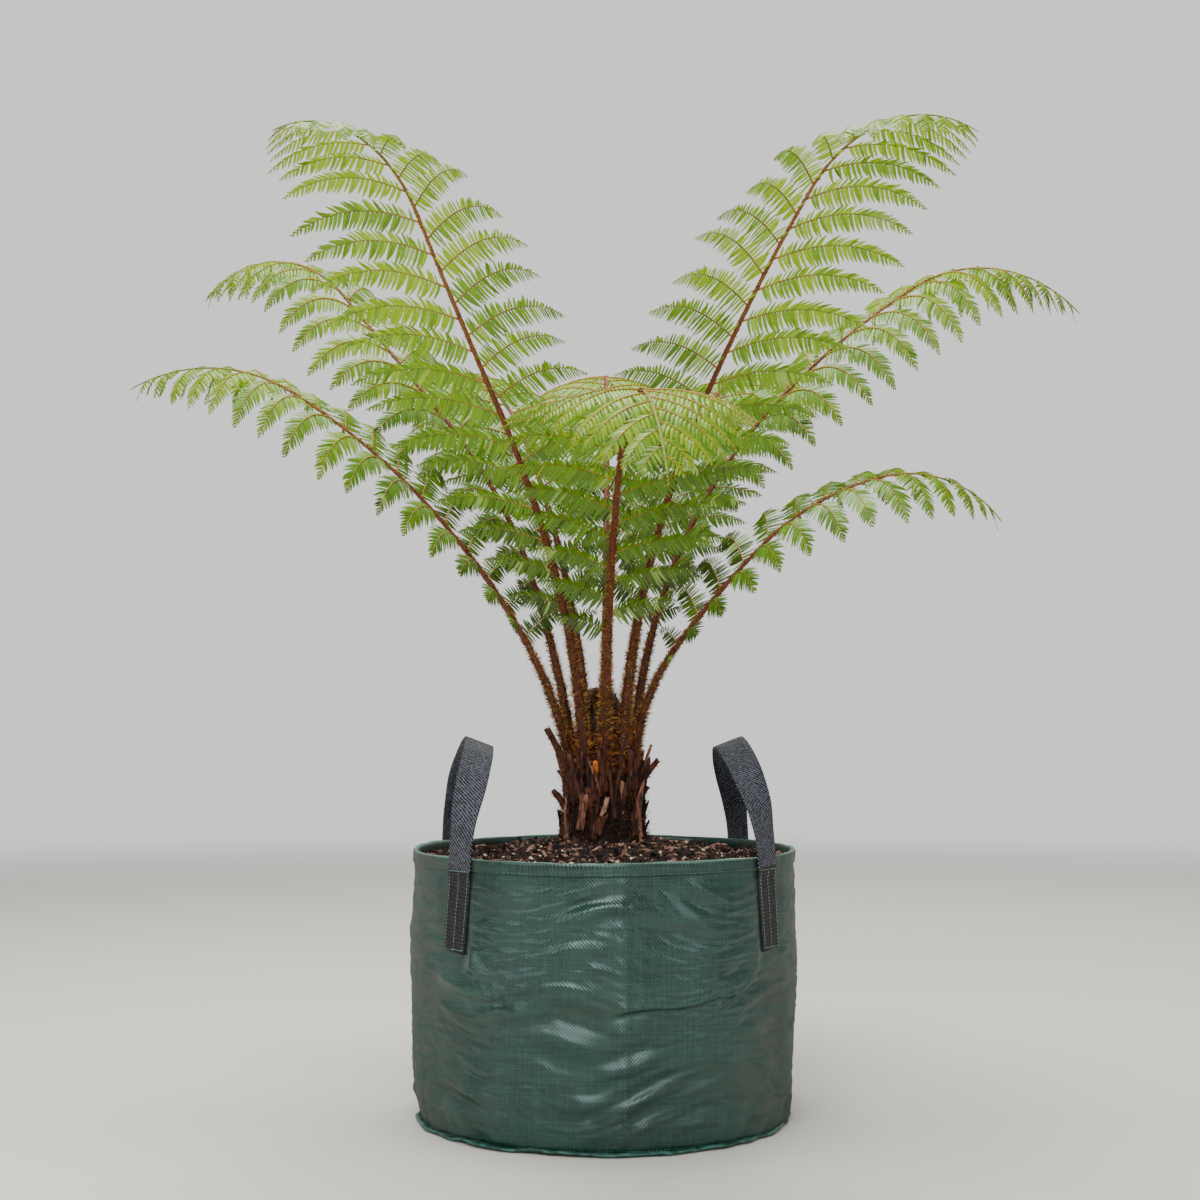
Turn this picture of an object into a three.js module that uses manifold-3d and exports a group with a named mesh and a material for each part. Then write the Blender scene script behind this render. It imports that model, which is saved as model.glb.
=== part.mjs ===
// A young tree fern in a woven planter bag: bag, soil, webbing handles, trunk with old leaf bases,
// curled new shoots and ten arching fronds. Millimetres, +Z up, origin at the centre of the bag's
// underside, -Y towards the viewer.
import * as THREE from "three";
import { mergeVertices } from "three/addons/utils/BufferGeometryUtils.js";
import Module from "manifold-3d";

const wasm = await Module();
wasm.setup();

// Gap between pieces that touch, and between pinnae that hang side by side
const SEAT_GAP = 0.3;
const LEAF_GAP = 1.2;

// Planter bag: outer radius at heights up from the floor, wall and floor of the woven cloth
const BAG_HEIGHT = 350;
const BAG_OUTLINE = [
  [235, 0],
  [241, 8],
  [247, 34],
  [249.5, 90],
  [250.5, 190],
  [250, 290],
  [249.5, 350],
];
const BAG_WALL = 3;
const BAG_SIDES = 48;
const HEM_HEIGHT = 15;
const HEM_THICKNESS = 1.8;
const WELT_OUT = 7;
const WELT_BOTTOM = 1.5;
const WELT_TOP = 6;

// Potting soil: mounded from the wall up to a flat patch that the trunk stands on. The mound's
// points are shares of the way from the patch to the wall and of the way down.
const SOIL_EDGE_Z = 337;
const SOIL_TOP_Z = 360;
const SOIL_PATCH_RADIUS = 62;
const SOIL_MOUND = [
  [0.66, 0.8],
  [0.3, 0.35],
];

// Webbing handles: 40 mm webbing, sewn to the wall on two legs and arched over. The legs stand
// at an angle either side of the handle's own compass direction, closer together at their feet.
const WEBBING_WIDTH = 40;
const WEBBING_THICKNESS = 3;
const HANDLE_FOOT_ANGLE = 36.4;
const HANDLE_RIM_ANGLE = 39.3;
const HANDLE_PATCH_FOOT = 235;
const HANDLE_APEX_Z = 491;
const HANDLE_APEX_RADIUS = 165.5;
const HANDLE_APEX_TILT = 21;
const LEG_STEPS = 6;
const ARCH_STEPS = 18;
const LEAN_POWER = 1.42;
const RISE_POWER = 0.85;
const HANDLES = { handle_left: 186.2, handle_right: 2.4 };

// Trunk: radius at heights above the soil, up to the shelf that the stalks stand on, then the bud
const TRUNK_OUTLINE = [
  [57, 0],
  [52.5, 12],
  [50, 34],
  [49, 60],
  [50, 86],
];
const TRUNK_SIDES = 24;
const TRUNK_RIBS = 8;
const TRUNK_RIB = 0.02;
const BUD_RADIUS = 30;
const BUD_TOP_RADIUS = 26;
const BUD_HEIGHT = 56;
const TRUNK_FOOT_Z = SOIL_TOP_Z + SEAT_GAP;
const SHELF_Z = TRUNK_FOOT_Z + TRUNK_OUTLINE.at(-1)[1];
const BUD_TOP_Z = SHELF_Z + BUD_HEIGHT;

// Old leaf bases: compass angle, foot height above the soil, length, foot and tip diameter, rise
const STUB_ROOT = 12;
const STUB_FLATNESS = 0.8;
const STUB_SIDES = 6;
const STUBS = {
  stub_left_high: [209, 70, 88, 13, 10, 63],
  stub_left_short: [177, 64, 32, 10, 7, 62],
  stub_left_low: [186, 31, 40, 13, 9, 59],
  stub_front_left: [255, 30, 50, 11, 8, 85],
  stub_front_right: [299, 26, 54, 12, 9, 86],
  stub_right_high: [352, 64, 50, 12, 8, 57],
  stub_right_low: [6, 43, 30, 11, 7, 64],
  stub_rear_right: [48, 40, 46, 13, 9, 62],
  stub_rear: [98, 26, 40, 12, 9, 60],
  stub_rear_left: [142, 48, 54, 13, 9, 64],
};

// New shoots that are still curled: place on the bud, height of the curl's centre, size of the curl
const SHOOTS = {
  shoot_front: { at: [-6, -14], rise: 44, ring: 11, stem: 6.5, turn: 200 },
  shoot_rear: { at: [8, 12], rise: 30, ring: 9, stem: 5.5, turn: 40 },
};
// Shares of a shoot's ring and stem
const CURL_TUBE = 0.55;
const CURL_HEART = 0.75;
const CURL_OFFSET = 0.5;
const STEM_BELOW = 0.6;
const STEM_TAPER = 0.8;
const CURL_SEGMENTS = [8, 16];
const HEART_SEGMENTS = [10, 6];
const STEM_SIDES = 10;

// Fronds. seat and heading are compass angles and sway is how far the heading turns by the tip.
// rises are the rachis slopes at each quarter of its length. lift is how far the pinnae stand above
// the blade, and roll how far the blade turns with its left side up, both at its foot and at its tip,
// in degrees. droop is how much the pinnae bend to the ground.
const FRONDS = [
  { name: "frond_left_low", seat: 190, heading: 188, sway: 0, length: 860,
    rises: [79, 59, 46, 31, -33], pinna: 140, lift: [30, 5], roll: [-34, -18],
    droop: [0.8, 3] },
  { name: "frond_left_mid", seat: 156, heading: 158, sway: -4, length: 1050,
    rises: [82, 71, 49, 48, -45], pinna: 160, lift: [25, 8], roll: [-20, -12],
    droop: [0.8, 2.6] },
  { name: "frond_left_high", seat: 234, heading: 242, sway: -11, length: 1040,
    rises: [85, 62, 49, 54, -33], pinna: 178, lift: [10, -6], roll: [0, 0],
    droop: [0.5, 1.3] },
  { name: "frond_front", seat: 270, heading: 274, sway: 4, length: 915,
    rises: [80, 56, 39, -8, -55], pinna: 162, lift: [12, 0], roll: [0, 0],
    droop: [0.5, 1.2] },
  { name: "frond_right_high", seat: 305, heading: 303, sway: 11, length: 1080,
    rises: [87, 67, 52, 46, -38], pinna: 178, lift: [10, -6], roll: [0, 0],
    droop: [0.5, 1.3] },
  { name: "frond_right_mid", seat: 17, heading: 14, sway: -2, length: 1095,
    rises: [89, 69, 47, 33, -46], pinna: 160, lift: [25, 5], roll: [20, 15],
    droop: [0.9, 3.2] },
  { name: "frond_right_low", seat: 341, heading: 352, sway: 0, length: 715,
    rises: [89, 54, 45, 14, -57], pinna: 120, lift: [30, 8], roll: [34, 15],
    droop: [0.8, 3] },
  { name: "frond_rear_right", seat: 51, heading: 60, sway: 4, length: 985,
    rises: [87, 68, 51, 18, -46], pinna: 165, lift: [12, -5], roll: [8, 0],
    droop: [0.6, 1.5] },
  { name: "frond_rear", seat: 86, heading: 89, sway: 3, length: 1010,
    rises: [87, 70, 50, 15, -45], pinna: 170, lift: [12, -5], roll: [0, 0],
    droop: [0.6, 1.5] },
  { name: "frond_rear_left", seat: 121, heading: 119, sway: -4, length: 985,
    rises: [87, 68, 52, 18, -46], pinna: 165, lift: [12, -5], roll: [-8, 0],
    droop: [0.6, 1.5] },
];
const SEAT_RADIUS = 41;
const STALK_WIDTH = 17;
const STALK_DEPTH = 13;
const RACHIS_TIP = 3;
const RACHIS_GIRTH = 0.66;
const STALK_STEPS = 7;
const PATH_STEPS = 160;
const BLADE_START = 0.21;
const BLADE_BEND = 0.68;
const PINNA_SPACING = [46, 24];
const PINNA_ANGLE = [68, 46];
const PINNA_THICKNESS = 2.2;
// Share of a pinna's length and of the room beside it, at each section that is followed by its tip
const PINNA_SECTIONS = [
  [0.2, 0.8],
  [0.62, 0.56],
  [1, 0],
];
const WIDEST_AT = 0.42;
const FOOT_PINNA = 0.42;
const LEAST_PINNA = 0.18;
const FOOT_ROLL = 90;
const TIP_TAPER = 2.8;
const SPACING_POWER = 3.5;
const ANGLE_POWER = 1.5;
const DROOP_POWER = 1.3;
const TIP_LEAFLET = 26;
const ANGLE_VARIES = 3;
const LENGTH_VARIES = 0.04;
const PINNA_SHORTER = [1, 0.82, 0.64, 0.48];
const PINNA_SEED = 41;

const FINISH = {
  woven: { color: 0x32554b, roughness: 0.45, metalness: 0 },
  hem: { color: 0x3a6156, roughness: 0.5, metalness: 0 },
  webbing: { color: 0x26272a, roughness: 0.85, metalness: 0 },
  soil: { color: 0x2f211a, roughness: 1, metalness: 0 },
  trunk: { color: 0x3a231a, roughness: 0.95, metalness: 0 },
  stub: { color: 0x7d6350, roughness: 0.9, metalness: 0 },
  shoot: { color: 0x4a2c1c, roughness: 0.9, metalness: 0 },
  stalk: { color: 0x6e3c1e, roughness: 0.7, metalness: 0 },
  blade: { color: 0x6e963c, roughness: 0.55, metalness: 0 },
};

const fern = new THREE.Group();
const radians = THREE.MathUtils.degToRad;
const lerp = THREE.MathUtils.lerp;
const smoothstep = THREE.MathUtils.smoothstep;

function addPiece(name, geometry, finish) {
  const mesh = new THREE.Mesh(geometry, new THREE.MeshStandardMaterial(FINISH[finish]));
  mesh.name = name;
  fern.add(mesh);
  return mesh;
}

// A compass direction in the floor's plane
function compass(angle, radius = 1, z = 0) {
  return new THREE.Vector3(radius * Math.cos(radians(angle)), radius * Math.sin(radians(angle)), z);
}

// Value of a list of [value, place] pairs at one place, straight between them
function along(pairs, place) {
  const next = pairs.findIndex(([, at]) => at >= place);
  if (next <= 0) return next === 0 ? pairs[0][0] : pairs.at(-1)[0];
  const [from, to] = [pairs[next - 1], pairs[next]];
  return lerp(from[0], to[0], (place - from[1]) / (to[1] - from[1]));
}

// A closed skin that grows ring by ring, each ring counter-clockwise about the way it grows
class Skin {
  points = [];
  faces = [];

  ring(corners) {
    return corners.map((corner) => this.points.push(corner.clone()) - 1);
  }

  face(loop) {
    for (let i = 2; i < loop.length; i++) this.faces.push(loop[0], loop[i - 1], loop[i]);
  }

  // The quad on one side of the tube between two rings
  side(from, to, i) {
    const j = (i + 1) % from.length;
    return [from[i], from[j], to[j], to[i]];
  }

  tube(from, to) {
    from.forEach((_, i) => this.face(this.side(from, to, i)));
  }

  point(from, tip) {
    const end = this.points.push(tip.clone()) - 1;
    from.forEach((corner, i) => this.face([corner, from[(i + 1) % from.length], end]));
  }

  geometry() {
    const places = this.points.flatMap((p) => [p.x, p.y, p.z]);
    return new THREE.BufferGeometry()
      .setAttribute("position", new THREE.Float32BufferAttribute(places, 3))
      .setIndex(this.faces);
  }
}

function loft(rings) {
  const skin = new Skin();
  const placed = rings.map((ring) => skin.ring(ring));
  skin.face([...placed[0]].reverse());
  placed.slice(1).forEach((ring, i) => skin.tube(placed[i], ring));
  skin.face(placed.at(-1));
  return skin.geometry();
}

function turned(profile, sides = BAG_SIDES) {
  const points = profile.map(([radius, z]) => new THREE.Vector2(radius, z));
  return new THREE.LatheGeometry(points, sides).rotateX(Math.PI / 2);
}

// Joins and cuts of closed geometries
function toSolid(geometry) {
  const bare = geometry.clone();
  for (const extra of ["normal", "uv"]) bare.deleteAttribute(extra);
  const merged = mergeVertices(bare, 1e-3);
  return new wasm.Manifold(
    new wasm.Mesh({
      numProp: 3,
      vertProperties: merged.attributes.position.array,
      triVerts: new Uint32Array(merged.index.array),
    }),
  );
}

function toGeometry(solid) {
  const { vertProperties, triVerts } = solid.getMesh();
  return new THREE.BufferGeometry()
    .setAttribute("position", new THREE.Float32BufferAttribute(vertProperties, 3))
    .setIndex(new THREE.Uint32BufferAttribute(triVerts, 1));
}

// Bag
function bagRadius(z) {
  return along(BAG_OUTLINE, z);
}

function buildBag() {
  const inner = BAG_OUTLINE.filter(([, z]) => z > BAG_WALL * 2 && z < BAG_HEIGHT);
  const wall = [
    [0, 0],
    ...BAG_OUTLINE,
    [bagRadius(BAG_HEIGHT) - BAG_WALL, BAG_HEIGHT],
    ...inner.reverse().map(([radius, z]) => [radius - BAG_WALL, z]),
    [bagRadius(0) - BAG_WALL * 2, BAG_WALL],
    [0, BAG_WALL],
  ];
  addPiece("bag", turned(wall), "woven");
}

function buildHem() {
  const [foot, top] = [BAG_HEIGHT - HEM_HEIGHT, BAG_HEIGHT];
  const band = [
    [bagRadius(foot) + SEAT_GAP, foot],
    [bagRadius(foot) + SEAT_GAP + HEM_THICKNESS, foot],
    [bagRadius(top) + SEAT_GAP + HEM_THICKNESS, top],
    [bagRadius(top) + SEAT_GAP, top],
    [bagRadius(foot) + SEAT_GAP, foot],
  ];
  addPiece("rim_hem", turned(band), "hem");
}

function buildWelt() {
  const inside = [WELT_BOTTOM, WELT_TOP].map((z) => bagRadius(z) + SEAT_GAP);
  const band = [
    [inside[0], WELT_BOTTOM],
    [inside[0] + WELT_OUT, WELT_BOTTOM],
    [inside[0] + WELT_OUT, WELT_TOP - 1],
    [inside[1], WELT_TOP],
    [inside[0], WELT_BOTTOM],
  ];
  addPiece("bag_base_welt", turned(band), "woven");
}

function buildSoil() {
  const edge = bagRadius(SOIL_EDGE_Z) - BAG_WALL - SEAT_GAP;
  const inner = BAG_OUTLINE.filter(([, z]) => z > BAG_WALL * 2 && z < SOIL_EDGE_Z);
  const mound = [
    [0, BAG_WALL + SEAT_GAP],
    [bagRadius(0) - BAG_WALL * 2 - SEAT_GAP, BAG_WALL + SEAT_GAP],
    ...inner.map(([radius, z]) => [radius - BAG_WALL - SEAT_GAP, z]),
    [edge, SOIL_EDGE_Z],
    ...SOIL_MOUND.map(([out, down]) =>
      [lerp(SOIL_PATCH_RADIUS, edge, out), lerp(SOIL_TOP_Z, SOIL_EDGE_Z, down)]),
    [SOIL_PATCH_RADIUS, SOIL_TOP_Z],
    [0, SOIL_TOP_Z],
  ];
  addPiece("soil", turned(mound), "soil");
}

// One handle: up a sewn leg, over the arch and down the other leg. The webbing lies flat on the
// wall at its legs and turns to lie across the top of the arch, with its outer edge the higher.
function handleStations(centre) {
  const proud = SEAT_GAP + WEBBING_THICKNESS / 2;
  const legAt = (side, share) => {
    const z = lerp(HANDLE_PATCH_FOOT, BAG_HEIGHT, share);
    const over = smoothstep(z, BAG_HEIGHT - 2 * HEM_HEIGHT, BAG_HEIGHT - HEM_HEIGHT);
    const radius = bagRadius(z) + proud + over * (HEM_THICKNESS + SEAT_GAP);
    const aside = side * lerp(HANDLE_FOOT_ANGLE, HANDLE_RIM_ANGLE, share);
    return { at: compass(centre + aside, radius, z), wide: compass(centre + aside - side * 90) };
  };
  const leg = (side) =>
    Array.from({ length: LEG_STEPS }, (_, i) => legAt(side, i / LEG_STEPS));
  const [foot, far] = [-1, 1].map((side) => legAt(side, 1).at);
  const middle = foot.clone().add(far).multiplyScalar(0.5);
  const half = far.clone().sub(foot).multiplyScalar(0.5);
  const lean = compass(centre, HANDLE_APEX_RADIUS).sub(middle.clone().setZ(0));
  const arch = Array.from({ length: ARCH_STEPS + 1 }, (_, i) => {
    const turn = (Math.PI * i) / ARCH_STEPS;
    const climbed = Math.sin(turn);
    const at = middle.clone().addScaledVector(half, -Math.cos(turn));
    at.addScaledVector(lean, climbed ** LEAN_POWER);
    at.z = lerp(BAG_HEIGHT, HANDLE_APEX_Z - WEBBING_THICKNESS / 2, climbed ** RISE_POWER);
    const level = smoothstep(climbed, 0, 1);
    const tilt = radians(HANDLE_APEX_TILT * level);
    const side = Math.sign(i - ARCH_STEPS / 2);
    const heading = centre - side * (90 - HANDLE_RIM_ANGLE) * (1 - level);
    return { at, wide: compass(heading, Math.cos(tilt), Math.sin(tilt)) };
  });
  return [...leg(-1), ...arch, ...leg(1).reverse()];
}

function buildHandle(name, centre) {
  const stations = handleStations(centre);
  const rings = stations.map(({ at, wide }, i) => {
    const before = stations[Math.max(i - 1, 0)].at;
    const after = stations[Math.min(i + 1, stations.length - 1)].at;
    const way = after.clone().sub(before).normalize();
    const across = wide.clone().addScaledVector(way, -wide.dot(way)).normalize();
    return slab(at, across, way.cross(across), WEBBING_WIDTH / 2, WEBBING_THICKNESS / 2);
  });
  addPiece(name, loft(rings), "webbing");
}

// Four corners of a flat section, counter-clockwise about across x up
function slab(at, across, up, halfWidth, halfThickness) {
  return [[1, 1], [-1, 1], [-1, -1], [1, -1]].map(([a, b]) =>
    at.clone().addScaledVector(across, a * halfWidth).addScaledVector(up, b * halfThickness),
  );
}

// Trunk and bud. The cutter for the stubs is the same shape grown by the seat gap.
function trunkGeometry(grown = 0) {
  const ring = (radius, height) =>
    Array.from({ length: TRUNK_SIDES }, (_, i) => {
      const turn = (360 * i) / TRUNK_SIDES;
      const ribbed = radius * (1 + TRUNK_RIB * Math.sin(radians(turn * TRUNK_RIBS)));
      return compass(turn, ribbed + grown, TRUNK_FOOT_Z + height);
    });
  const trunkTop = TRUNK_OUTLINE.at(-1)[1];
  return loft([
    ...TRUNK_OUTLINE.map(([radius, height]) => ring(radius, height)),
    ring(BUD_RADIUS, trunkTop),
    ring(BUD_TOP_RADIUS, trunkTop + BUD_HEIGHT),
  ]);
}

function trunkRadius(height) {
  return along(TRUNK_OUTLINE, height);
}

function buildStub(name, [angle, height, length, footSize, tipSize, rise]) {
  const way = compass(angle, Math.cos(radians(rise)), Math.sin(radians(rise)));
  const surface = compass(angle, trunkRadius(height), TRUNK_FOOT_Z + height);
  const across = compass(angle + 90);
  const up = way.clone().cross(across);
  const ring = (distance, size) =>
    Array.from({ length: STUB_SIDES }, (_, i) => {
      const turn = (2 * Math.PI * i) / STUB_SIDES;
      return surface.clone().addScaledVector(distance < 0 ? compass(angle) : way, distance)
        .addScaledVector(across, (size / 2) * Math.cos(turn))
        .addScaledVector(up, (size / 2) * STUB_FLATNESS * Math.sin(turn));
    });
  const whole = loft([ring(-STUB_ROOT, footSize), ring(length / 3, (footSize + tipSize) / 2),
    ring(length, tipSize)]);
  const cut = toSolid(whole).subtract(toSolid(trunkGeometry(SEAT_GAP)));
  addPiece(name, toGeometry(cut), "stub");
}

// A shoot: a stem with its tip rolled into a disc
function buildShoot(name, { at, rise, ring, stem, turn }) {
  const height = rise - ring * STEM_BELOW;
  const stalk = new THREE.CylinderGeometry(stem * STEM_TAPER, stem, height, STEM_SIDES)
    .rotateX(Math.PI / 2).translate(0, 0, height / 2);
  const curl = new THREE.TorusGeometry(ring, ring * CURL_TUBE, ...CURL_SEGMENTS);
  const heart = new THREE.SphereGeometry(ring * CURL_HEART, ...HEART_SEGMENTS);
  const rolled = [curl, heart].map((piece) =>
    toSolid(piece.rotateX(Math.PI / 2).translate(ring * CURL_OFFSET, 0, rise)),
  );
  const shoot = toGeometry(toSolid(stalk).add(rolled[0]).add(rolled[1]));
  const mesh = addPiece(name, shoot, "shoot");
  mesh.position.set(at[0], at[1], BUD_TOP_Z + SEAT_GAP);
  mesh.rotation.z = radians(turn);
}

// An upright box round some points, for telling whether two blades keep clear of each other
class Bounds {
  constructor(points, way, up) {
    const across = up.clone().cross(way);
    this.axes = [way, up, across];
    const spans = this.axes.map((axis) => points.map((point) => point.dot(axis)));
    const middles = spans.map((span) => (Math.min(...span) + Math.max(...span)) / 2);
    this.half = spans.map((span) => (Math.max(...span) - Math.min(...span)) / 2);
    this.centre = new THREE.Vector3();
    this.axes.forEach((axis, i) => this.centre.addScaledVector(axis, middles[i]));
    this.reach = Math.hypot(...this.half);
  }

  spread(axis) {
    return this.axes.reduce((sum, own, i) => sum + this.half[i] * Math.abs(own.dot(axis)), 0);
  }

  clears(other, gap) {
    const apart = other.centre.clone().sub(this.centre);
    if (apart.length() > this.reach + other.reach + gap) return true;
    const crossed = this.axes.flatMap((a) => other.axes.map((b) => a.clone().cross(b)));
    return [...this.axes, ...other.axes, ...crossed].some((axis) => {
      const length = axis.length();
      if (length < 1e-3) return false;
      const room = Math.abs(apart.dot(axis)) / length;
      return room > (this.spread(axis) + other.spread(axis)) / length + gap;
    });
  }
}

// The rachis of a frond: its place, its way on, its left and its upper side at a share s of the
// length. It leaves its seat on the trunk and follows the slopes given at each quarter.
class Rachis {
  constructor(frond) {
    Object.assign(this, frond);
    this.path = [compass(frond.seat, SEAT_RADIUS, SHELF_Z + SEAT_GAP)];
    for (let i = 0; i < PATH_STEPS; i++) {
      const { way } = this.axes((i + 0.5) / PATH_STEPS);
      this.path.push(this.path[i].clone().addScaledVector(way, frond.length / PATH_STEPS));
    }
  }

  axes(s) {
    const quarter = Math.min(s * 4, 3.9999);
    const step = Math.floor(quarter);
    const rise = radians(lerp(this.rises[step], this.rises[step + 1], quarter - step));
    const heading = this.heading + this.sway * s * s;
    const way = compass(heading, Math.cos(rise), Math.sin(rise));
    const left = compass(heading + 90);
    return { way, left, up: way.clone().cross(left) };
  }

  at(s) {
    const place = Math.min(s * PATH_STEPS, PATH_STEPS - 1e-6);
    const step = Math.floor(place);
    return this.path[step].clone().lerp(this.path[step + 1], place - step);
  }

  // Share of the stalk's foot size that is left at s
  girth(s) {
    if (s < BLADE_START) return lerp(1, RACHIS_GIRTH, s / BLADE_START);
    return lerp(RACHIS_GIRTH, RACHIS_TIP / STALK_WIDTH, this.blade(s));
  }

  blade(s) {
    return Math.max(0, (s - BLADE_START) / (1 - BLADE_START));
  }

  section(s) {
    const { left, up } = this.axes(s);
    const girth = this.girth(s);
    return slab(this.at(s), left, up, (STALK_WIDTH * girth) / 2, (STALK_DEPTH * girth) / 2);
  }

  // The foot is cut level, to stand on the trunk's shelf
  foot() {
    const [left, inward] = [compass(this.seat + 90), compass(this.seat + 180)];
    return slab(this.at(0), left, inward, STALK_WIDTH / 2, STALK_DEPTH / 2);
  }

  // Where the pinnae stand: alternately left and right, closer together towards the tip
  joints() {
    const places = [];
    const last = 1 - TIP_LEAFLET / this.length;
    for (let s = BLADE_START; s < last; ) {
      places.push(s);
      s += lerp(...PINNA_SPACING, this.blade(s) ** SPACING_POWER) / 2 / this.length;
    }
    return places;
  }

  // Longest just before the middle of the blade, drawn out at its tip, and shorter to its foot,
  // most of all on the side that the foot is rolled down
  pinnaLength(s, side) {
    const u = this.blade(s);
    if (u < WIDEST_AT) {
      const foot = Math.max(LEAST_PINNA, FOOT_PINNA + (side * this.roll[0]) / FOOT_ROLL);
      const rise = Math.sin((Math.PI / 2) * (u / WIDEST_AT));
      return this.pinna * lerp(foot, 1, rise);
    }
    return this.pinna * (1 - ((u - WIDEST_AT) / (1 - WIDEST_AT)) ** TIP_TAPER);
  }
}

// Sections of one pinna from its root on the rachis to its drawn-out tip. side is 1 on the left.
function pinnaSections(rachis, from, to, side, length, chance) {
  const s = (from + to) / 2;
  const u = rachis.blade(s);
  const { way, left, up } = rachis.axes(s);
  const angle = radians(lerp(...PINNA_ANGLE, u ** ANGLE_POWER) + chance[0] * ANGLE_VARIES);
  const roll = side * lerp(...rachis.roll, u);
  const lift = radians(lerp(...rachis.lift, u) + roll + chance[1] * ANGLE_VARIES);
  const out = left.clone().multiplyScalar(side * Math.cos(lift)).addScaledVector(up, Math.sin(lift));
  const above = up.clone().multiplyScalar(Math.cos(lift))
    .addScaledVector(left, -side * Math.sin(lift));
  const start = way.clone().multiplyScalar(Math.cos(angle)).addScaledVector(out, Math.sin(angle));
  const droop = lerp(...rachis.droop, u);
  const pitch = (to - from) * 2 * rachis.length * Math.sin(angle);
  const root = (STALK_WIDTH * rachis.girth(s)) / 2;
  let at = rachis.at(s).addScaledVector(left, side * root);
  let reached = 0;
  return PINNA_SECTIONS.map(([q, width]) => {
    const middle = (reached + q) / 2;
    const on = start.clone().setZ(start.z - droop * middle ** DROOP_POWER).normalize();
    at = at.clone().addScaledVector(on, (q - reached) * length);
    reached = q;
    const normal = above.clone().addScaledVector(on, -above.dot(on)).normalize();
    const wide = on.clone().cross(normal).multiplyScalar(side);
    return { at, on, normal, wide, half: (width * pitch) / 2 };
  });
}

function pinnaRing({ at, normal, wide, half }, side) {
  const corner = (a, b) =>
    at.clone().addScaledVector(wide, a * half).addScaledVector(normal, (b * PINNA_THICKNESS) / 2);
  const order = side > 0 ? [[-1, -1], [-1, 1], [1, 1], [1, -1]] : [[-1, 1], [-1, -1], [1, -1], [1, 1]];
  return order.map(([a, b]) => corner(a, b));
}

function pinnaBounds(root, sections, side) {
  const rings = [root, ...sections.slice(0, -1).map((section) => pinnaRing(section, side))];
  rings.push([sections.at(-1).at]);
  return sections.map(({ on, normal }, i) => new Bounds([...rings[i], ...rings[i + 1]], on, normal));
}

// Even chances between -1 and 1 that come out alike each time
function* chances(seed) {
  let state = seed;
  for (;;) {
    state = (state * 16807) % 2147483647;
    yield (state / 2147483647) * 2 - 1;
  }
}

const occupied = [];

// Every rachis takes its space first, so that no pinna grows into another frond's stalk
function claimRachis(rachis) {
  const stalk = Array.from({ length: STALK_STEPS + 1 }, (_, i) => (BLADE_START * i) / STALK_STEPS);
  const places = [...stalk, ...rachis.joints().slice(1), 1];
  places.slice(1).forEach((to, i) => {
    const from = places[i];
    const { way, up } = rachis.axes((from + to) / 2);
    const corners = [...rachis.section(from), ...rachis.section(to)];
    occupied.push({ rachis, from, to, bounds: new Bounds(corners, way, up) });
  });
}

function hasRoom(rachis, from, to, boxes) {
  return occupied.every((taken) => {
    const own = taken.rachis === rachis && taken.to > from - 1e-6 && taken.from < to + 1e-6;
    return own || boxes.every((box) => box.clears(taken.bounds, LEAF_GAP));
  });
}

// One pinna on one side of the rachis, made shorter where another blade is in its way, and left
// out where even the shortest would touch
function growPinna(skin, rachis, rings, from, to, side, dice) {
  const loop = skin.side(rings[0], rings[1], side > 0 ? 3 : 1);
  const chance = [dice.next().value, dice.next().value, dice.next().value];
  const full = rachis.pinnaLength((from + to) / 2, side) * (1 + chance[2] * LENGTH_VARIES);
  const root = loop.map((index) => skin.points[index]);
  for (const share of PINNA_SHORTER) {
    const sections = pinnaSections(rachis, from, to, side, full * share, chance);
    const boxes = pinnaBounds(root, sections, side);
    if (!hasRoom(rachis, from, to, boxes)) continue;
    boxes.forEach((bounds) => occupied.push({ rachis, from, to, bounds }));
    let ring = loop;
    for (const section of sections.slice(0, -1)) {
      const next = skin.ring(pinnaRing(section, side));
      skin.tube(ring, next);
      ring = next;
    }
    skin.point(ring, sections.at(-1).at);
    return;
  }
  skin.face(loop);
}

// A stretch of blade between two joints as one skin. The last stretch runs out into the tip.
function buildBlade(rachis, joints, name, dice, last) {
  const skin = new Skin();
  const start = rachis.section(joints[0].s + SEAT_GAP / rachis.length);
  let ring = skin.ring(start);
  skin.face([...ring].reverse());
  joints.slice(1).forEach(({ s }, i) => {
    const next = skin.ring(rachis.section(s));
    const side = joints[i].side;
    [0, side > 0 ? 1 : 3, 2].forEach((bare) => skin.face(skin.side(ring, next, bare)));
    growPinna(skin, rachis, [ring, next], joints[i].s, s, side, dice);
    ring = next;
  });
  if (last) skin.point(ring, rachis.at(1));
  else skin.face(ring);
  addPiece(name, skin.geometry(), "blade");
}

function buildFrond(rachis, dice) {
  const joints = rachis.joints().map((s, i) => ({ s, side: i % 2 ? 1 : -1 }));
  const bend = joints.findIndex(({ s }) => s >= BLADE_BEND);
  const stalk = Array.from({ length: STALK_STEPS }, (_, i) =>
    rachis.section((BLADE_START * (i + 1)) / STALK_STEPS));
  addPiece(`${rachis.name}_stalk`, loft([rachis.foot(), ...stalk]), "stalk");
  buildBlade(rachis, joints.slice(0, bend + 1), `${rachis.name}_blade`, dice, false);
  buildBlade(rachis, joints.slice(bend), `${rachis.name}_tip`, dice, true);
}

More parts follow.
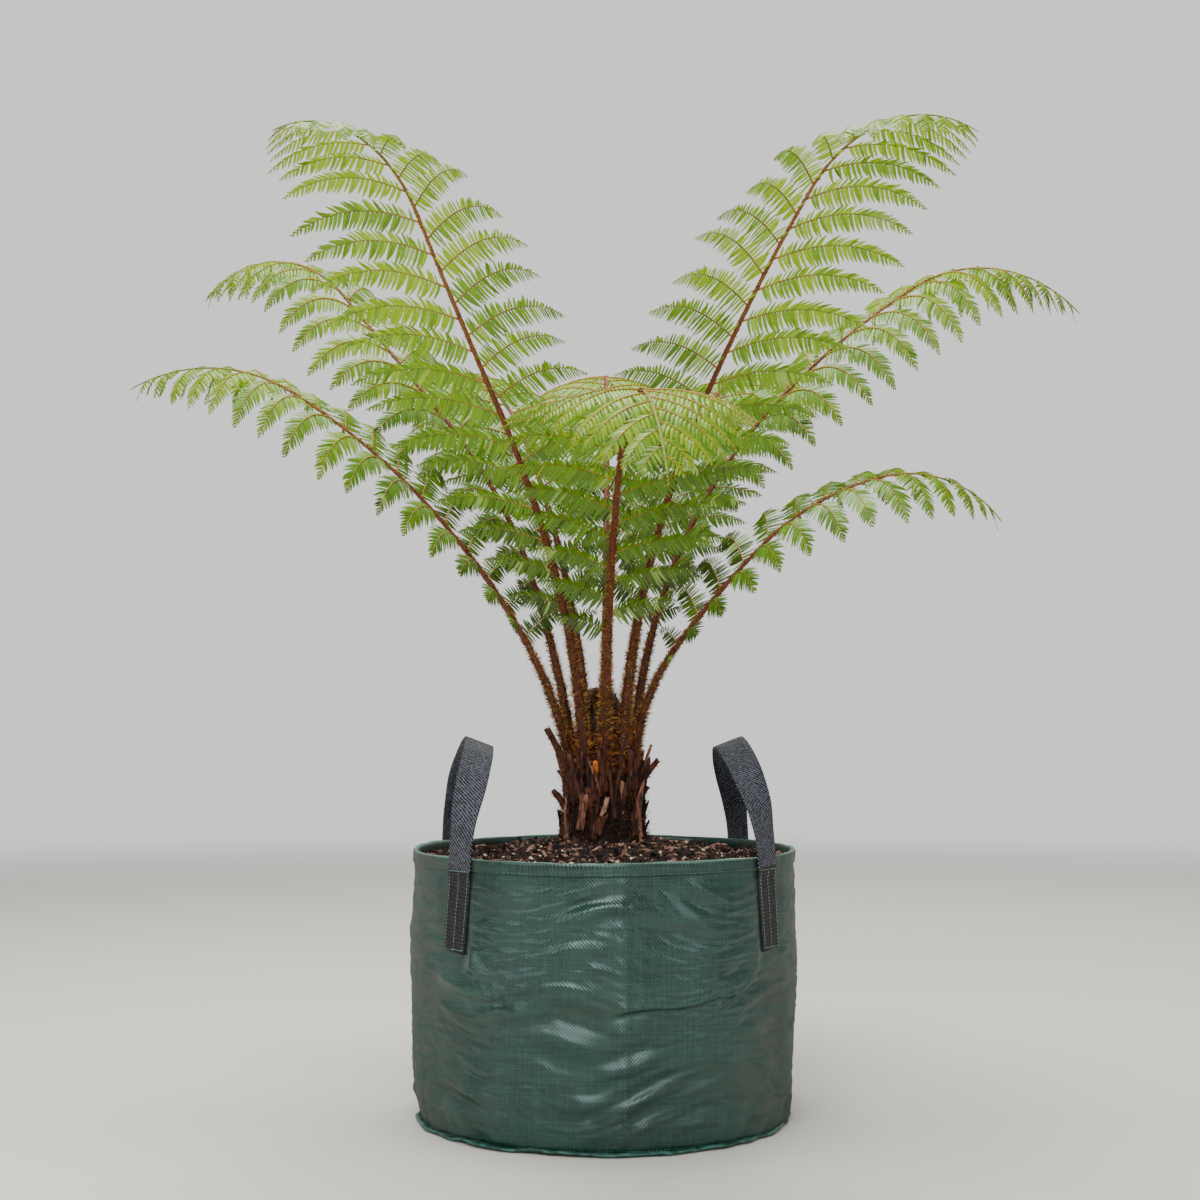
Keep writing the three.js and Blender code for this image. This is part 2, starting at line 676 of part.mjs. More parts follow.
buildBag();
buildHem();
buildWelt();
buildSoil();
for (const [name, centre] of Object.entries(HANDLES)) buildHandle(name, centre);
addPiece("trunk", trunkGeometry(), "trunk");
for (const [name, sizes] of Object.entries(STUBS)) buildStub(name, sizes);
for (const [name, sizes] of Object.entries(SHOOTS)) buildShoot(name, sizes);
const fronds = FRONDS.map((frond) => new Rachis(frond));
fronds.forEach(claimRachis);
const dice = chances(PINNA_SEED);
fronds.forEach((rachis) => buildFrond(rachis, dice));

export default fern;
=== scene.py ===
"""A young tree fern in a woven planter bag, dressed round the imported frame.

Metres, +Z up, origin at the centre of the bag's underside, -Y towards the viewer. The sizes that the
frame's solids also have are written again here by the same rules.
"""

import logging
import math
from dataclasses import dataclass, field
from enum import Enum
from typing import ClassVar, Sequence

import bpy
import numpy as np
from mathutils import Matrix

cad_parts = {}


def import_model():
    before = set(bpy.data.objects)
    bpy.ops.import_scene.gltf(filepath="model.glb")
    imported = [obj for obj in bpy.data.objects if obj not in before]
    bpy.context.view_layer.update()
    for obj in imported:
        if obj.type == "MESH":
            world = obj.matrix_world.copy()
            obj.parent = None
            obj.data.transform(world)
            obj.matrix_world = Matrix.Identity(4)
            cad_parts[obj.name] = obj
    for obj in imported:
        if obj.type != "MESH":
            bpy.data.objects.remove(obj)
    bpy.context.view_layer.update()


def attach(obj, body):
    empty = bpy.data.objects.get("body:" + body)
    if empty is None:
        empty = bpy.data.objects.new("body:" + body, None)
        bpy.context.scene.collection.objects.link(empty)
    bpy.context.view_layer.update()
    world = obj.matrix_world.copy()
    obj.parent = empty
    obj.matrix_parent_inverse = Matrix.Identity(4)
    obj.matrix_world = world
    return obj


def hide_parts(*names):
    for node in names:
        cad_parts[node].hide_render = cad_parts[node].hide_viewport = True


log = logging.getLogger("fern")

MM = 0.001
TURN = 2 * math.pi
Array = np.ndarray
Values = float | np.ndarray
Socket = bpy.types.NodeSocket
Finish = bpy.types.Material
Triple = tuple[float, float, float]


# Shape maths


def lerp(low: Values, high: Values, share: Values) -> Values:
    """Value at a share of the way from low to high."""
    return low + (high - low) * share


def smooth(value: Values, low: float, high: float) -> Values:
    """0 below low, 1 above high, and between them an S-curve of the share of the way."""
    share = np.clip((value - low) / (high - low), 0, 1)
    return share * share * (3 - 2 * share)


def bell(value: Values, width: float) -> Values:
    """A bell of height 1 round 0: e to the minus square of value / width."""
    return np.exp(-((value / width) ** 2))


def beside(angle: Values, middle: float) -> Values:
    """How far a compass angle is past a middle one, from -180 to 180 degrees."""
    return (angle - middle + 180) % 360 - 180


def unit(vectors: Array) -> Array:
    """The vectors at length 1."""
    return vectors / np.linalg.norm(vectors, axis=-1, keepdims=True)


def compass(angle: Values, radius: Values = 1.0, z: Values = 0.0) -> Array:
    """Points at compass angles, as radius * cos, radius * sin and the height.

    Args:
        angle: in degrees, counter-clockwise from +X.
        radius: distance from the upright axis.
        z: height.

    Returns:
        The points, (..., 3).
    """
    turn = np.radians(angle)
    parts = np.broadcast_arrays(radius * np.cos(turn), radius * np.sin(turn), z)
    return np.stack([np.asarray(part, float) for part in parts], -1)


def square_to(vectors: Array, way: Array) -> Array:
    """The vectors with their part along way taken off, at length 1."""
    return unit(vectors - way * (vectors * way).sum(-1, keepdims=True))


def ripple(points: Array, size: float, seed: int, waves: int = 10) -> Array:
    """Soft lumps: a sum of sine waves in seeded directions.

    Args:
        points: places, (..., 3).
        size: distance from crest to crest.
        seed: seed of the directions, wavelengths and phases.
        waves: how many waves are summed.

    Returns:
        Heights of mean 0 and spread 1, (...).
    """
    dice = np.random.default_rng(seed)
    ways = unit(dice.normal(size=(waves, 3))) * TURN / (size * dice.uniform(0.7, 1.4, (waves, 1)))
    phases = dice.uniform(0, TURN, waves)
    return np.sin(points @ ways.T + phases).sum(-1) * math.sqrt(2 / waves)


def grid(rows: int, cols: int, closed: bool) -> tuple[Array, Array, Array]:
    """Quads of a grid of points, row by row.

    Args:
        rows: number of rows of points.
        cols: number of points in a row.
        closed: whether each row closes into a ring.

    Returns:
        The faces (m, 4), and the row and the column, not wrapped, of each of their corners.
    """
    row, col = np.meshgrid(np.arange(rows - 1), np.arange(cols if closed else cols - 1), indexing="ij")
    row, col = row.ravel(), col.ravel()
    row = np.stack([row, row, row + 1, row + 1], 1)
    col = np.stack([col, col + 1, col + 1, col], 1)
    return row * cols + col % cols, row, col


def repeat_faces(faces: Array, copies: int, points: int) -> Array:
    """The faces (m, k) of that many copies of a shape, which has so many points, one after another."""
    starts = np.arange(copies)[:, None, None] * points
    return (faces[None] + starts).reshape(-1, faces.shape[1])


@dataclass(frozen=True)
class Lumps:
    """Soft lumps on a surface: how high and wide they are, and how they are squeezed on each axis."""

    height: float
    size: float
    seed: int
    squeeze: Triple = (1, 1, 1)

    def over(self, points: Array) -> Array:
        """Their heights at the points."""
        return self.height * ripple(points * self.squeeze, self.size, self.seed)


def heap(kinds: Sequence[Lumps], points: Array) -> Array:
    """The summed heights of several kinds of lumps at the points."""
    return sum(kind.over(points) for kind in kinds)


@dataclass(frozen=True)
class Patches:
    """Where on a surface something shows: lumps of a size, from 0 below low to 1 above high."""

    size: float
    seed: int
    low: float
    high: float

    def over(self, points: Array) -> Array:
        """The share that shows at the points."""
        return smooth(ripple(points, self.size, self.seed), self.low, self.high)


@dataclass
class Skin:
    """The points and faces of one piece, gathered part by part."""

    points: list[Array] = field(default_factory=list)
    faces: list[Array] = field(default_factory=list)
    finishes: list[Array] = field(default_factory=list)
    corners: list[Array] = field(default_factory=list)
    count: int = 0

    def add_faces(self, faces: Array, finish: int | Array = 0, uv: Array | None = None) -> None:
        """Adds faces over points that are there.

        Args:
            faces: (m, k), counted from the piece's first point.
            finish: number of the finish, or one for each face.
            uv: place of each face corner on the piece's own map, (m, k, 2).
        """
        self.faces.append(faces)
        self.finishes.append(np.broadcast_to(finish, len(faces)))
        self.corners.append(np.zeros((*faces.shape, 2)) if uv is None else uv)

    def add(self, points: Array, faces: Array, finish: int | Array = 0, uv: Array | None = None) -> None:
        """Adds a part.

        Args:
            points: (..., 3).
            faces: (m, k), counted from the part's own first point.
            finish: number of the finish, or one for each face.
            uv: place of each face corner on the piece's own map, (m, k, 2).
        """
        points = np.asarray(points, float).reshape(-1, 3)
        self.points.append(points)
        self.add_faces(faces + self.count, finish, uv)
        self.count += len(points)

    def add_rings(self, points: Array, uv: tuple[Array, Array] | None = None) -> None:
        """Adds rings (rows, columns, 3), with map places up the rows and round them to the first again."""
        faces, row, col = grid(*points.shape[:2], True)
        self.add(points, faces, uv=None if uv is None else np.stack([uv[1][col], uv[0][row]], -1))

    def close_ends(self, rows: int, cols: int, finish: int = 0) -> None:
        """Closes the first and the last ring of a piece that has that many rows of rings."""
        for end, loop in ((0, np.arange(cols)[::-1]), (rows - 1, np.arange(cols))):
            self.add_faces((loop + end * cols)[None], finish)

    def add_tubes(self, centres: Array, across: Array, up: Array, wide: Array, high: Array, sides: int,
                  finish: int | Array = 0, along: Array | None = None) -> None:
        """Adds tubes with flat ends. Each ring is centre + across * wide * cos + up * high * sin.

        Args:
            centres: (p, k, 3), k places along each of p tubes.
            across: (p, k, 3), unit, with across x up pointing along the tube.
            up: (p, k, 3), unit.
            wide: half size along across, (p, k) or (p, k, sides).
            high: half size along up, alike.
            sides: corners of a ring.
            finish: number of the finish, or one for each tube.
            along: place along the map at each of the k rings.
        """
        count, steps = centres.shape[:2]
        turn = np.arange(sides) / sides * TURN
        wide, high = (np.reshape(np.broadcast_to(size, (count, steps)), (count, steps, 1))
                      if np.ndim(size) < 3 else size for size in (wide, high))
        ring = (centres[:, :, None] + across[:, :, None] * (wide * np.cos(turn))[..., None]
                + up[:, :, None] * (high * np.sin(turn))[..., None])
        faces, row, col = grid(steps, sides, True)
        along = np.linspace(0, 1, steps) if along is None else along
        uv = np.tile(np.stack([col / sides, along[row]], -1), (count, 1, 1))
        finish = np.broadcast_to(finish, count)
        base = self.count
        self.add(ring, repeat_faces(faces, count, steps * sides), np.repeat(finish, len(faces)), uv)
        for end, loop in ((0, np.arange(sides)[::-1]), (steps - 1, np.arange(sides))):
            caps = repeat_faces((loop + end * sides)[None], count, steps * sides)
            self.add_faces(caps + base, finish, np.full((*caps.shape, 2), along[end]))

    def add_copies(self, shape: "Shape", places: Array, frames: Array, sizes: Array,
                   finish: int | Array = 0) -> None:
        """Adds one copy of a shape at each place, as place + (point * size) in its frame.

        Args:
            shape: the points and faces to repeat.
            places: (n, 3).
            frames: (n, 3, 3), whose rows are the copy's own axes.
            sizes: (n, 3), stretch along each axis.
            finish: number of the finish, or one for each copy.
        """
        points = places[:, None] + np.einsum("nvi,nij->nvj", shape.points[None] * sizes[:, None], frames)
        for faces in shape.faces:
            which = np.repeat(np.broadcast_to(finish, len(places)), len(faces))
            self.add_faces(repeat_faces(faces, len(places), len(shape.points)) + self.count, which)
        self.points.append(points.reshape(-1, 3))
        self.count += len(places) * len(shape.points)

    def make(self, name: str, finishes: list[Finish], slot: str, stands_for: Sequence[str] = (),
             rounded: bool = True) -> None:
        """Makes the piece, fixes it to the part's body and logs it.

        Args:
            name: the piece's name.
            finishes: its materials, in the order of the finish numbers.
            slot: the material slot in the record that it belongs to. Not used.
            stands_for: names of the solids that it replaces.
            rounded: whether its faces are shaded as one smooth surface.
        """
        mesh = bpy.data.meshes.new(name)
        points = np.concatenate(self.points).astype(np.float32)
        corners = np.concatenate([faces.ravel() for faces in self.faces]).astype(np.int32)
        sizes = np.concatenate([np.full(len(faces), faces.shape[1]) for faces in self.faces])
        mesh.vertices.add(len(points))
        mesh.vertices.foreach_set("co", points.ravel())
        mesh.loops.add(len(corners))
        mesh.loops.foreach_set("vertex_index", corners)
        mesh.polygons.add(len(sizes))
        mesh.polygons.foreach_set("loop_start", np.r_[0, np.cumsum(sizes)[:-1]].astype(np.int32))
        mesh.polygons.foreach_set("material_index", np.concatenate(self.finishes).astype(np.int32))
        mesh.polygons.foreach_set("use_smooth", np.full(len(sizes), rounded))
        uv = np.concatenate([part.reshape(-1, 2) for part in self.corners]).astype(np.float32)
        mesh.uv_layers.new(name="surface").uv.foreach_set("vector", uv.ravel())
        for finish in finishes:
            mesh.materials.append(finish)
        mesh.update(calc_edges=True)
        mesh.validate()
        piece = bpy.data.objects.new(name, mesh)
        bpy.context.scene.collection.objects.link(piece)
        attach(piece, "root")
        if stands_for:
            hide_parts(*stands_for)
        log.info("%s: %d triangles", name, (sizes - 2).sum())


@dataclass(frozen=True)
class Shape:
    """A small shape that is repeated: points (v, 3), and lists of faces with as many corners each."""

    points: Array
    faces: tuple[Array, ...]


# a rough block of unit half sizes, narrower at one end and on top
CHIP = Shape(np.array([(-1, -1, -1), (1, -0.7, -1), (1, 0.8, -1), (-0.9, 1, -1),
                       (-0.8, -0.7, 1), (0.6, -0.5, 0.8), (0.8, 0.5, 1), (-0.7, 0.8, 0.7)]),
             (np.array([(3, 2, 1, 0), (4, 5, 6, 7), (0, 1, 5, 4),
                        (1, 2, 6, 5), (2, 3, 7, 6), (3, 0, 4, 7)]),))
# a grain along x of unit half sizes, sharp at both ends
STITCH = Shape(np.array([(-1, 0, -0.6), (1, 0, -0.6),
                         (-0.6, -0.9, 0), (-0.6, 0, 0.9), (-0.6, 0.9, 0), (-0.6, 0, -0.9),
                         (0.6, -0.9, 0), (0.6, 0, 0.9), (0.6, 0.9, 0), (0.6, 0, -0.9)]),
               (np.array([(3, 2, 0), (4, 3, 0), (5, 4, 0), (2, 5, 0),
                          (6, 7, 1), (7, 8, 1), (8, 9, 1), (9, 6, 1)]),
                np.array([(2, 3, 7, 6), (3, 4, 8, 7), (4, 5, 9, 8), (5, 2, 6, 9)])))
# a hair-like scale along x of unit length: a strip that narrows and bends up to its tip
SCALE = Shape(np.array([(0, -1, 0), (0, 1, 0), (0.5, -0.7, 0.08), (0.5, 0.7, 0.08), (1, 0, 0.3)]),
              (np.array([(0, 2, 3, 1)]), np.array([(2, 4, 3)])))


# Finishes


def tint(code: int) -> tuple[float, float, float, float]:
    """Linear colour of a six-figure display colour."""
    shades = [(code >> shift & 255) / 255 for shift in (16, 8, 0)]
    return (*(part / 12.92 if part <= 0.04045 else ((part + 0.055) / 1.055) ** 2.4 for part in shades), 1.0)


class Term:
    """A number that varies over a surface, with Python's operators."""

    def __init__(self, paint: "Paint", socket: Socket) -> None:
        """Wraps an output socket of the paint's nodes."""
        self.paint = paint
        self.socket = socket

    def maths(self, operation: str, *others: "Term | float") -> "Term":
        """The outcome of one Math node on this number and the others."""
        values = dict(enumerate((self, *others)))
        return self.paint.term("ShaderNodeMath", {"operation": operation}, values)

    def __add__(self, other: "Term | float") -> "Term":
        """Sum."""
        return self.maths("ADD", other)

    __radd__ = __add__

    def __mul__(self, other: "Term | float") -> "Term":
        """Product."""
        return self.maths("MULTIPLY", other)

    __rmul__ = __mul__

    def __sub__(self, other: "Term | float") -> "Term":
        """Difference."""
        return self.maths("SUBTRACT", other)

    def __abs__(self) -> "Term":
        """Size without sign."""
        return self.maths("ABSOLUTE")

    def sine(self) -> "Term":
        """Sine, in radians."""
        return self.maths("SINE")

    def ramp(self, low: float, high: float) -> "Term":
        """0 at low and 1 at high, on a smooth curve."""
        return self.paint.term("ShaderNodeMapRange", {"interpolation_type": "SMOOTHSTEP"},
                               {"Value": self, "From Min": low, "From Max": high})


class Paint:
    """The nodes of one material, round a Principled shader."""

    MIX_FIRST, MIX_SECOND, MIX_RESULT = 6, 7, 2

    def __init__(self, name: str, roughness: float, **fixed: float | tuple) -> None:
        """Starts a material.

        Args:
            name: its name.
            roughness: the shader's own roughness.
            fixed: more of the shader's plain values, by socket name with _ for a space.
        """
        self.material = bpy.data.materials.new(name)
        self.material.use_nodes = True
        self.tree = self.material.node_tree
        self.tree.nodes.clear()
        values = {key.replace("_", " "): value for key, value in fixed.items()}
        self.shader = self.node("ShaderNodeBsdfPrincipled", {}, {"Roughness": roughness, **values})
        self.output = self.node("ShaderNodeOutputMaterial", {}, {"Surface": self.shader.outputs[0]})

    def node(self, kind: str, settings: dict, inputs: dict) -> bpy.types.Node:
        """Adds a node.

        Args:
            kind: its type.
            settings: its own values, set first. stops are those of a colour ramp.
            inputs: a value, a socket or a Term for each input, by its name or number.

        Returns:
            The node.
        """
        made = self.tree.nodes.new(kind)
        for key, value in settings.items():
            if key == "stops":
                while len(made.color_ramp.elements) < len(value):
                    made.color_ramp.elements.new(1)
                for stop, (place, colour) in zip(made.color_ramp.elements, value):
                    stop.position, stop.color = place, colour
            else:
                setattr(made, key, value)
        for key, value in inputs.items():
            value = value.socket if isinstance(value, Term) else value
            if isinstance(value, bpy.types.NodeSocket):
                self.tree.links.new(value, made.inputs[key])
            else:
                made.inputs[key].default_value = value
        return made

    def term(self, kind: str, settings: dict, inputs: dict) -> Term:
        """Adds a node and gives its first output as a number."""
        return Term(self, self.node(kind, settings, inputs).outputs[0])

    def feed(self, name: str, value: Term | Socket) -> None:
        """Links a Term or a socket to the shader's input of that name."""
        self.tree.links.new(value.socket if isinstance(value, Term) else value, self.shader.inputs[name])

    def place(self, stretch: Triple = (1.0, 1.0, 1.0)) -> Socket:
        """The surface's own place, in metres, scaled along each axis."""
        where = self.node("ShaderNodeTexCoord", {}, {}).outputs["Object"]
        return self.node("ShaderNodeMapping", {}, {"Vector": where, "Scale": stretch}).outputs[0]

    def axes(self, where: Socket) -> list[Term]:
        """The three numbers of a place."""
        parts = self.node("ShaderNodeSeparateXYZ", {}, {"Vector": where}).outputs
        return [Term(self, part) for part in parts]

    def map_place(self) -> list[Term]:
        """The two numbers of the piece's own map, and 0."""
        return self.axes(self.node("ShaderNodeUVMap", {"uv_map": "surface"}, {}).outputs[0])

    def noise(self, size: float, stretch: Triple = (1.0, 1.0, 1.0), detail: float = 3.0) -> Term:
        """Clouds about size across, between 0 and 1."""
        inputs = {"Vector": self.place(stretch), "Scale": 1 / size, "Detail": detail}
        return self.term("ShaderNodeTexNoise", {}, inputs)

    def blend(self, share: Term, first: Socket | tuple, second: Socket | tuple) -> Socket:
        """A colour at a share of the way from the first to the second."""
        inputs = {0: share, self.MIX_FIRST: first, self.MIX_SECOND: second}
        return self.node("ShaderNodeMix", {"data_type": "RGBA"}, inputs).outputs[self.MIX_RESULT]

    def colours(self, share: Term, stops: list[tuple[float, int]]) -> Socket:
        """A colour that runs through the stops, each a place and a display colour."""
        stops = [(place, tint(code)) for place, code in stops]
        return self.node("ShaderNodeValToRGB", {"stops": stops}, {0: share}).outputs[0]

    def relief(self, height: Term, depth: float) -> None:
        """Bumps of a height from 0 to 1, depth deep."""
        bump = self.node("ShaderNodeBump", {}, {"Height": height, "Distance": depth, "Strength": 1.0})
        self.feed("Normal", bump.outputs[0])

    def let_light_through(self, share: float, colour: tuple) -> None:
        """Mixes in light that passes from behind.

        Args:
            share: how much of the finish it makes up.
            colour: its own colour.
        """
        glow = self.node("ShaderNodeBsdfTranslucent", {}, {"Color": colour})
        both = self.node("ShaderNodeMixShader", {}, {0: share, 1: self.shader.outputs[0],
                                                     2: glow.outputs[0]})
        self.tree.links.new(both.outputs[0], self.output.inputs["Surface"])


@dataclass(frozen=True)
class Cloud:
    """Clouds of a size on a finish, stretched along each axis, that show from low to high."""

    size: float
    low: float
    high: float
    stretch: Triple = (1.0, 1.0, 1.0)
    detail: float = 3.0

    def over(self, paint: Paint) -> Term:
        """The share that shows."""
        return paint.noise(self.size, self.stretch, self.detail).ramp(self.low, self.high)


@dataclass(frozen=True)
class WovenCloth:
    """Dark green woven plastic cloth. Its map counts tapes round and up the bag."""

    green: int = 0x112D25
    shade: int = 0x0A1E19
    olive: int = 0x253127
    dust: int = 0x4A4334
    # pale colour of the painted highlight along the top of the folded rim
    edge: int = 0x6F978A
    lit: int = 0x2A584B
    # dark end of the weave's checker, partly its own pattern and partly painted sheen
    sheen_checker_dark: int = 0x0E231D
    shine: float = 0.66
    sheen: tuple = (0.78, 1.0, 1.0, 1)
    shaded: Cloud = Cloud(0.09, 0.35, 0.7)
    level_tapes: Cloud = Cloud(0.0022, 0.36, 0.66, (0.04, 0.04, 1), 2)
    upright_tapes: Cloud = Cloud(0.0026, 0.4, 0.7, (1, 1, 0.02), 2)
    worn: Cloud = Cloud(0.05, 0.5, 0.7, (0.5, 0.5, 1.2), 4)
    streaked: Cloud = Cloud(0.016, 0.3, 0.72, (0.3, 0.3, 2.2), 5)
    matt_clouds: float = 0.03
    flank: tuple = (0.14, 0.24)
    rim_highlight_z: tuple = (0.3485, 0.3512)
    glossy_z: tuple = (0.1, 0.26)
    tape_depth: float = 0.16 * MM

    def paint(self) -> Finish:
        """Plain weave as sin * sin of the map, streaked along its threads and worn olive in clouds.
        Its checker is partly the weave's own pattern and partly a painted sheen: the cells where the tapes of
        one direction lie over are darker.

        The flanks are dusty and the lower half is duller. A pale band along the top of the folded rim is a
        painted highlight.

        Returns:
            The material.
        """
        paint = Paint("woven_cloth", 0.4, Specular_IOR_Level=self.shine, Specular_Tint=self.sheen)
        across, up, _ = paint.map_place()
        weave = (across * math.pi).sine() * (up * math.pi).sine()
        colour = paint.blend(self.shaded.over(paint), tint(self.green), tint(self.shade))
        level, upright = self.level_tapes.over(paint), self.upright_tapes.over(paint)
        colour = paint.blend(level * 0.28 + upright * 0.28, colour, tint(self.lit))
        colour = paint.blend(self.worn.over(paint) * 0.6, colour, tint(self.olive))
        x, _, z = paint.axes(paint.place())
        streaks, flank = self.streaked.over(paint), abs(x).ramp(*self.flank)
        colour = paint.blend(flank * streaks * 0.75, colour, tint(self.dust))
        # painted highlight: a pale band along the top of the folded rim, which faces up to the light
        colour = paint.blend(z.ramp(*self.rim_highlight_z) * 0.75, colour, tint(self.edge))
        # painted sheen, partly the weave's pattern: darker cells where one direction's tapes lie over
        paint.feed("Base Color", paint.blend(weave * 0.22 + 0.78, tint(self.sheen_checker_dark), colour))
        matt = paint.noise(self.matt_clouds) * 0.2 + weave * 0.06 + flank * 0.4
        matt = matt - z.ramp(*self.glossy_z) * 0.13
        paint.feed("Roughness", matt + 0.3)
        paint.relief(weave * 0.5 + 0.5, self.tape_depth)
        return paint.material


@dataclass(frozen=True)
class Strap:
    """Charcoal webbing. Its map runs across it from -1 to 1 and along it in twill ribs."""

    name: str
    colour: int
    worn: int
    ribbed: bool
    ribs: float = 16.0
    slants: float = 8.0
    grained: Cloud = Cloud(0.004, 0.35, 0.65, detail=2)
    depth: float = 1.0 * MM

    def paint(self) -> Finish:
        """Slanting ribs both ways on the loop, and upright ribs on the sewn ends, with a rough grain.

        Ribs are sines of the map, and the sum of the two and the grain runs from the dark colour
        to the worn one.

        Returns:
            The material.
        """
        paint = Paint(self.name, 0.66, Specular_IOR_Level=0.32)
        across, along, _ = paint.map_place()
        slant = across * self.ribs if self.ribbed else across * self.slants + along
        rib = (slant * math.pi).sine()
        cross = ((along - across * (0.0 if self.ribbed else self.slants)) * math.pi).sine()
        grain = self.grained.over(paint)
        weave = (rib * 0.3 + cross * 0.2 + 0.5).ramp(0.2, 0.8)
        share = (weave * 0.75 + grain * 0.55 - 0.15).ramp(0.25, 0.75)
        paint.feed("Base Color", paint.blend(share, tint(self.colour), tint(self.worn)))
        paint.relief(weave + grain * 0.5, self.depth)
        return paint.material


@dataclass(frozen=True)
class Plain:
    """A matt finish of one colour that clouds towards another."""

    name: str
    colour: int
    cloud: int
    size: float = 0.01
    stretch: Triple = (1.0, 1.0, 1.0)
    roughness: float = 0.85
    depth: float = 0.5 * MM
    shine: float = 0.3
    shows: tuple = (0.38, 0.64)

    def paint(self) -> Finish:
        """Clouds of the two colours, with bumps where the second shows.

        Returns:
            The material.
        """
        paint = Paint(self.name, self.roughness, Specular_IOR_Level=self.shine)
        cloud = paint.noise(self.size, self.stretch, 5)
        share = cloud.ramp(*self.shows)
        paint.feed("Base Color", paint.blend(share, tint(self.colour), tint(self.cloud)))
        paint.relief(cloud, self.depth)
        return paint.material


@dataclass(frozen=True)
class StalkBark:
    """Stalk and rachis, whose map runs from 0 at the foot to 1 at the frond's tip."""

    foot: int = 0x2E1609
    low: int = 0x562A10
    high: int = 0x6A3412
    golden: int = 0x8A5E1E
    green: int = 0x76882C
    speck: int = 0x2A140A
    speck_size: float = 0.0035
    depth: float = 0.8 * MM

    def paint(self) -> Finish:
        """Red-brown that turns golden and then green towards the tip, darkened in specks.

        Returns:
            The material.
        """
        paint = Paint("stalk_bark", 0.6, Specular_IOR_Level=0.35)
        _, along, _ = paint.map_place()
        stops = [(0, self.foot), (0.15, self.low), (0.5, self.high), (0.75, self.golden), (0.9, self.green)]
        colour = paint.colours(along, stops)
        specks = paint.noise(self.speck_size, detail=4)
        paint.feed("Base Color", paint.blend(specks.ramp(0.5, 0.66) * 0.65, colour, tint(self.speck)))
        paint.relief(specks, self.depth)
        return paint.material


LEAF_GLOW = (1.5, 1.3, 0.25)


class Green(Enum):
    """Leaflet colours, dealt by a painted light level, each a display colour and the share of light that
    passes through.
    """

    # the deeper greens are partly painted shade, dealt inside the crown and to leaflets facing away from the
    # sky
    DEEP = (0x344C0A, 0.15)
    MID = (0x486808, 0.2)
    LEAF = (0x527A05, 0.25)
    FRESH = (0x628A04, 0.28)
    SUNLIT = (0x7C9E06, 0.3)
    # painted highlight: dealt in patches as glints on the leaflets
    PALE = (0x84A452, 0.25)

    def paint(self) -> Finish:
        """One plain green with a satin face, and a yellower glow when lit from behind.

        Returns:
            The material.
        """
        code, share = self.value
        paint = Paint(f"leaflet_{self.name.lower()}", 0.38, Specular_IOR_Level=0.5)
        colour = tint(code)
        paint.shader.inputs["Base Color"].default_value = colour
        glow = [part * gain for part, gain in zip(colour, LEAF_GLOW)]
        paint.let_light_through(share, (*glow, 1))
        return paint.material


# Planter bag


def sew(skin: Skin, spots: Array, axes: list[Array], size: Triple) -> None:
    """Adds a stitch at each spot: a grain of that half size along, across and out of the cloth."""
    skin.add_copies(STITCH, spots, np.stack(axes, 1), np.broadcast_to(size, spots.shape))


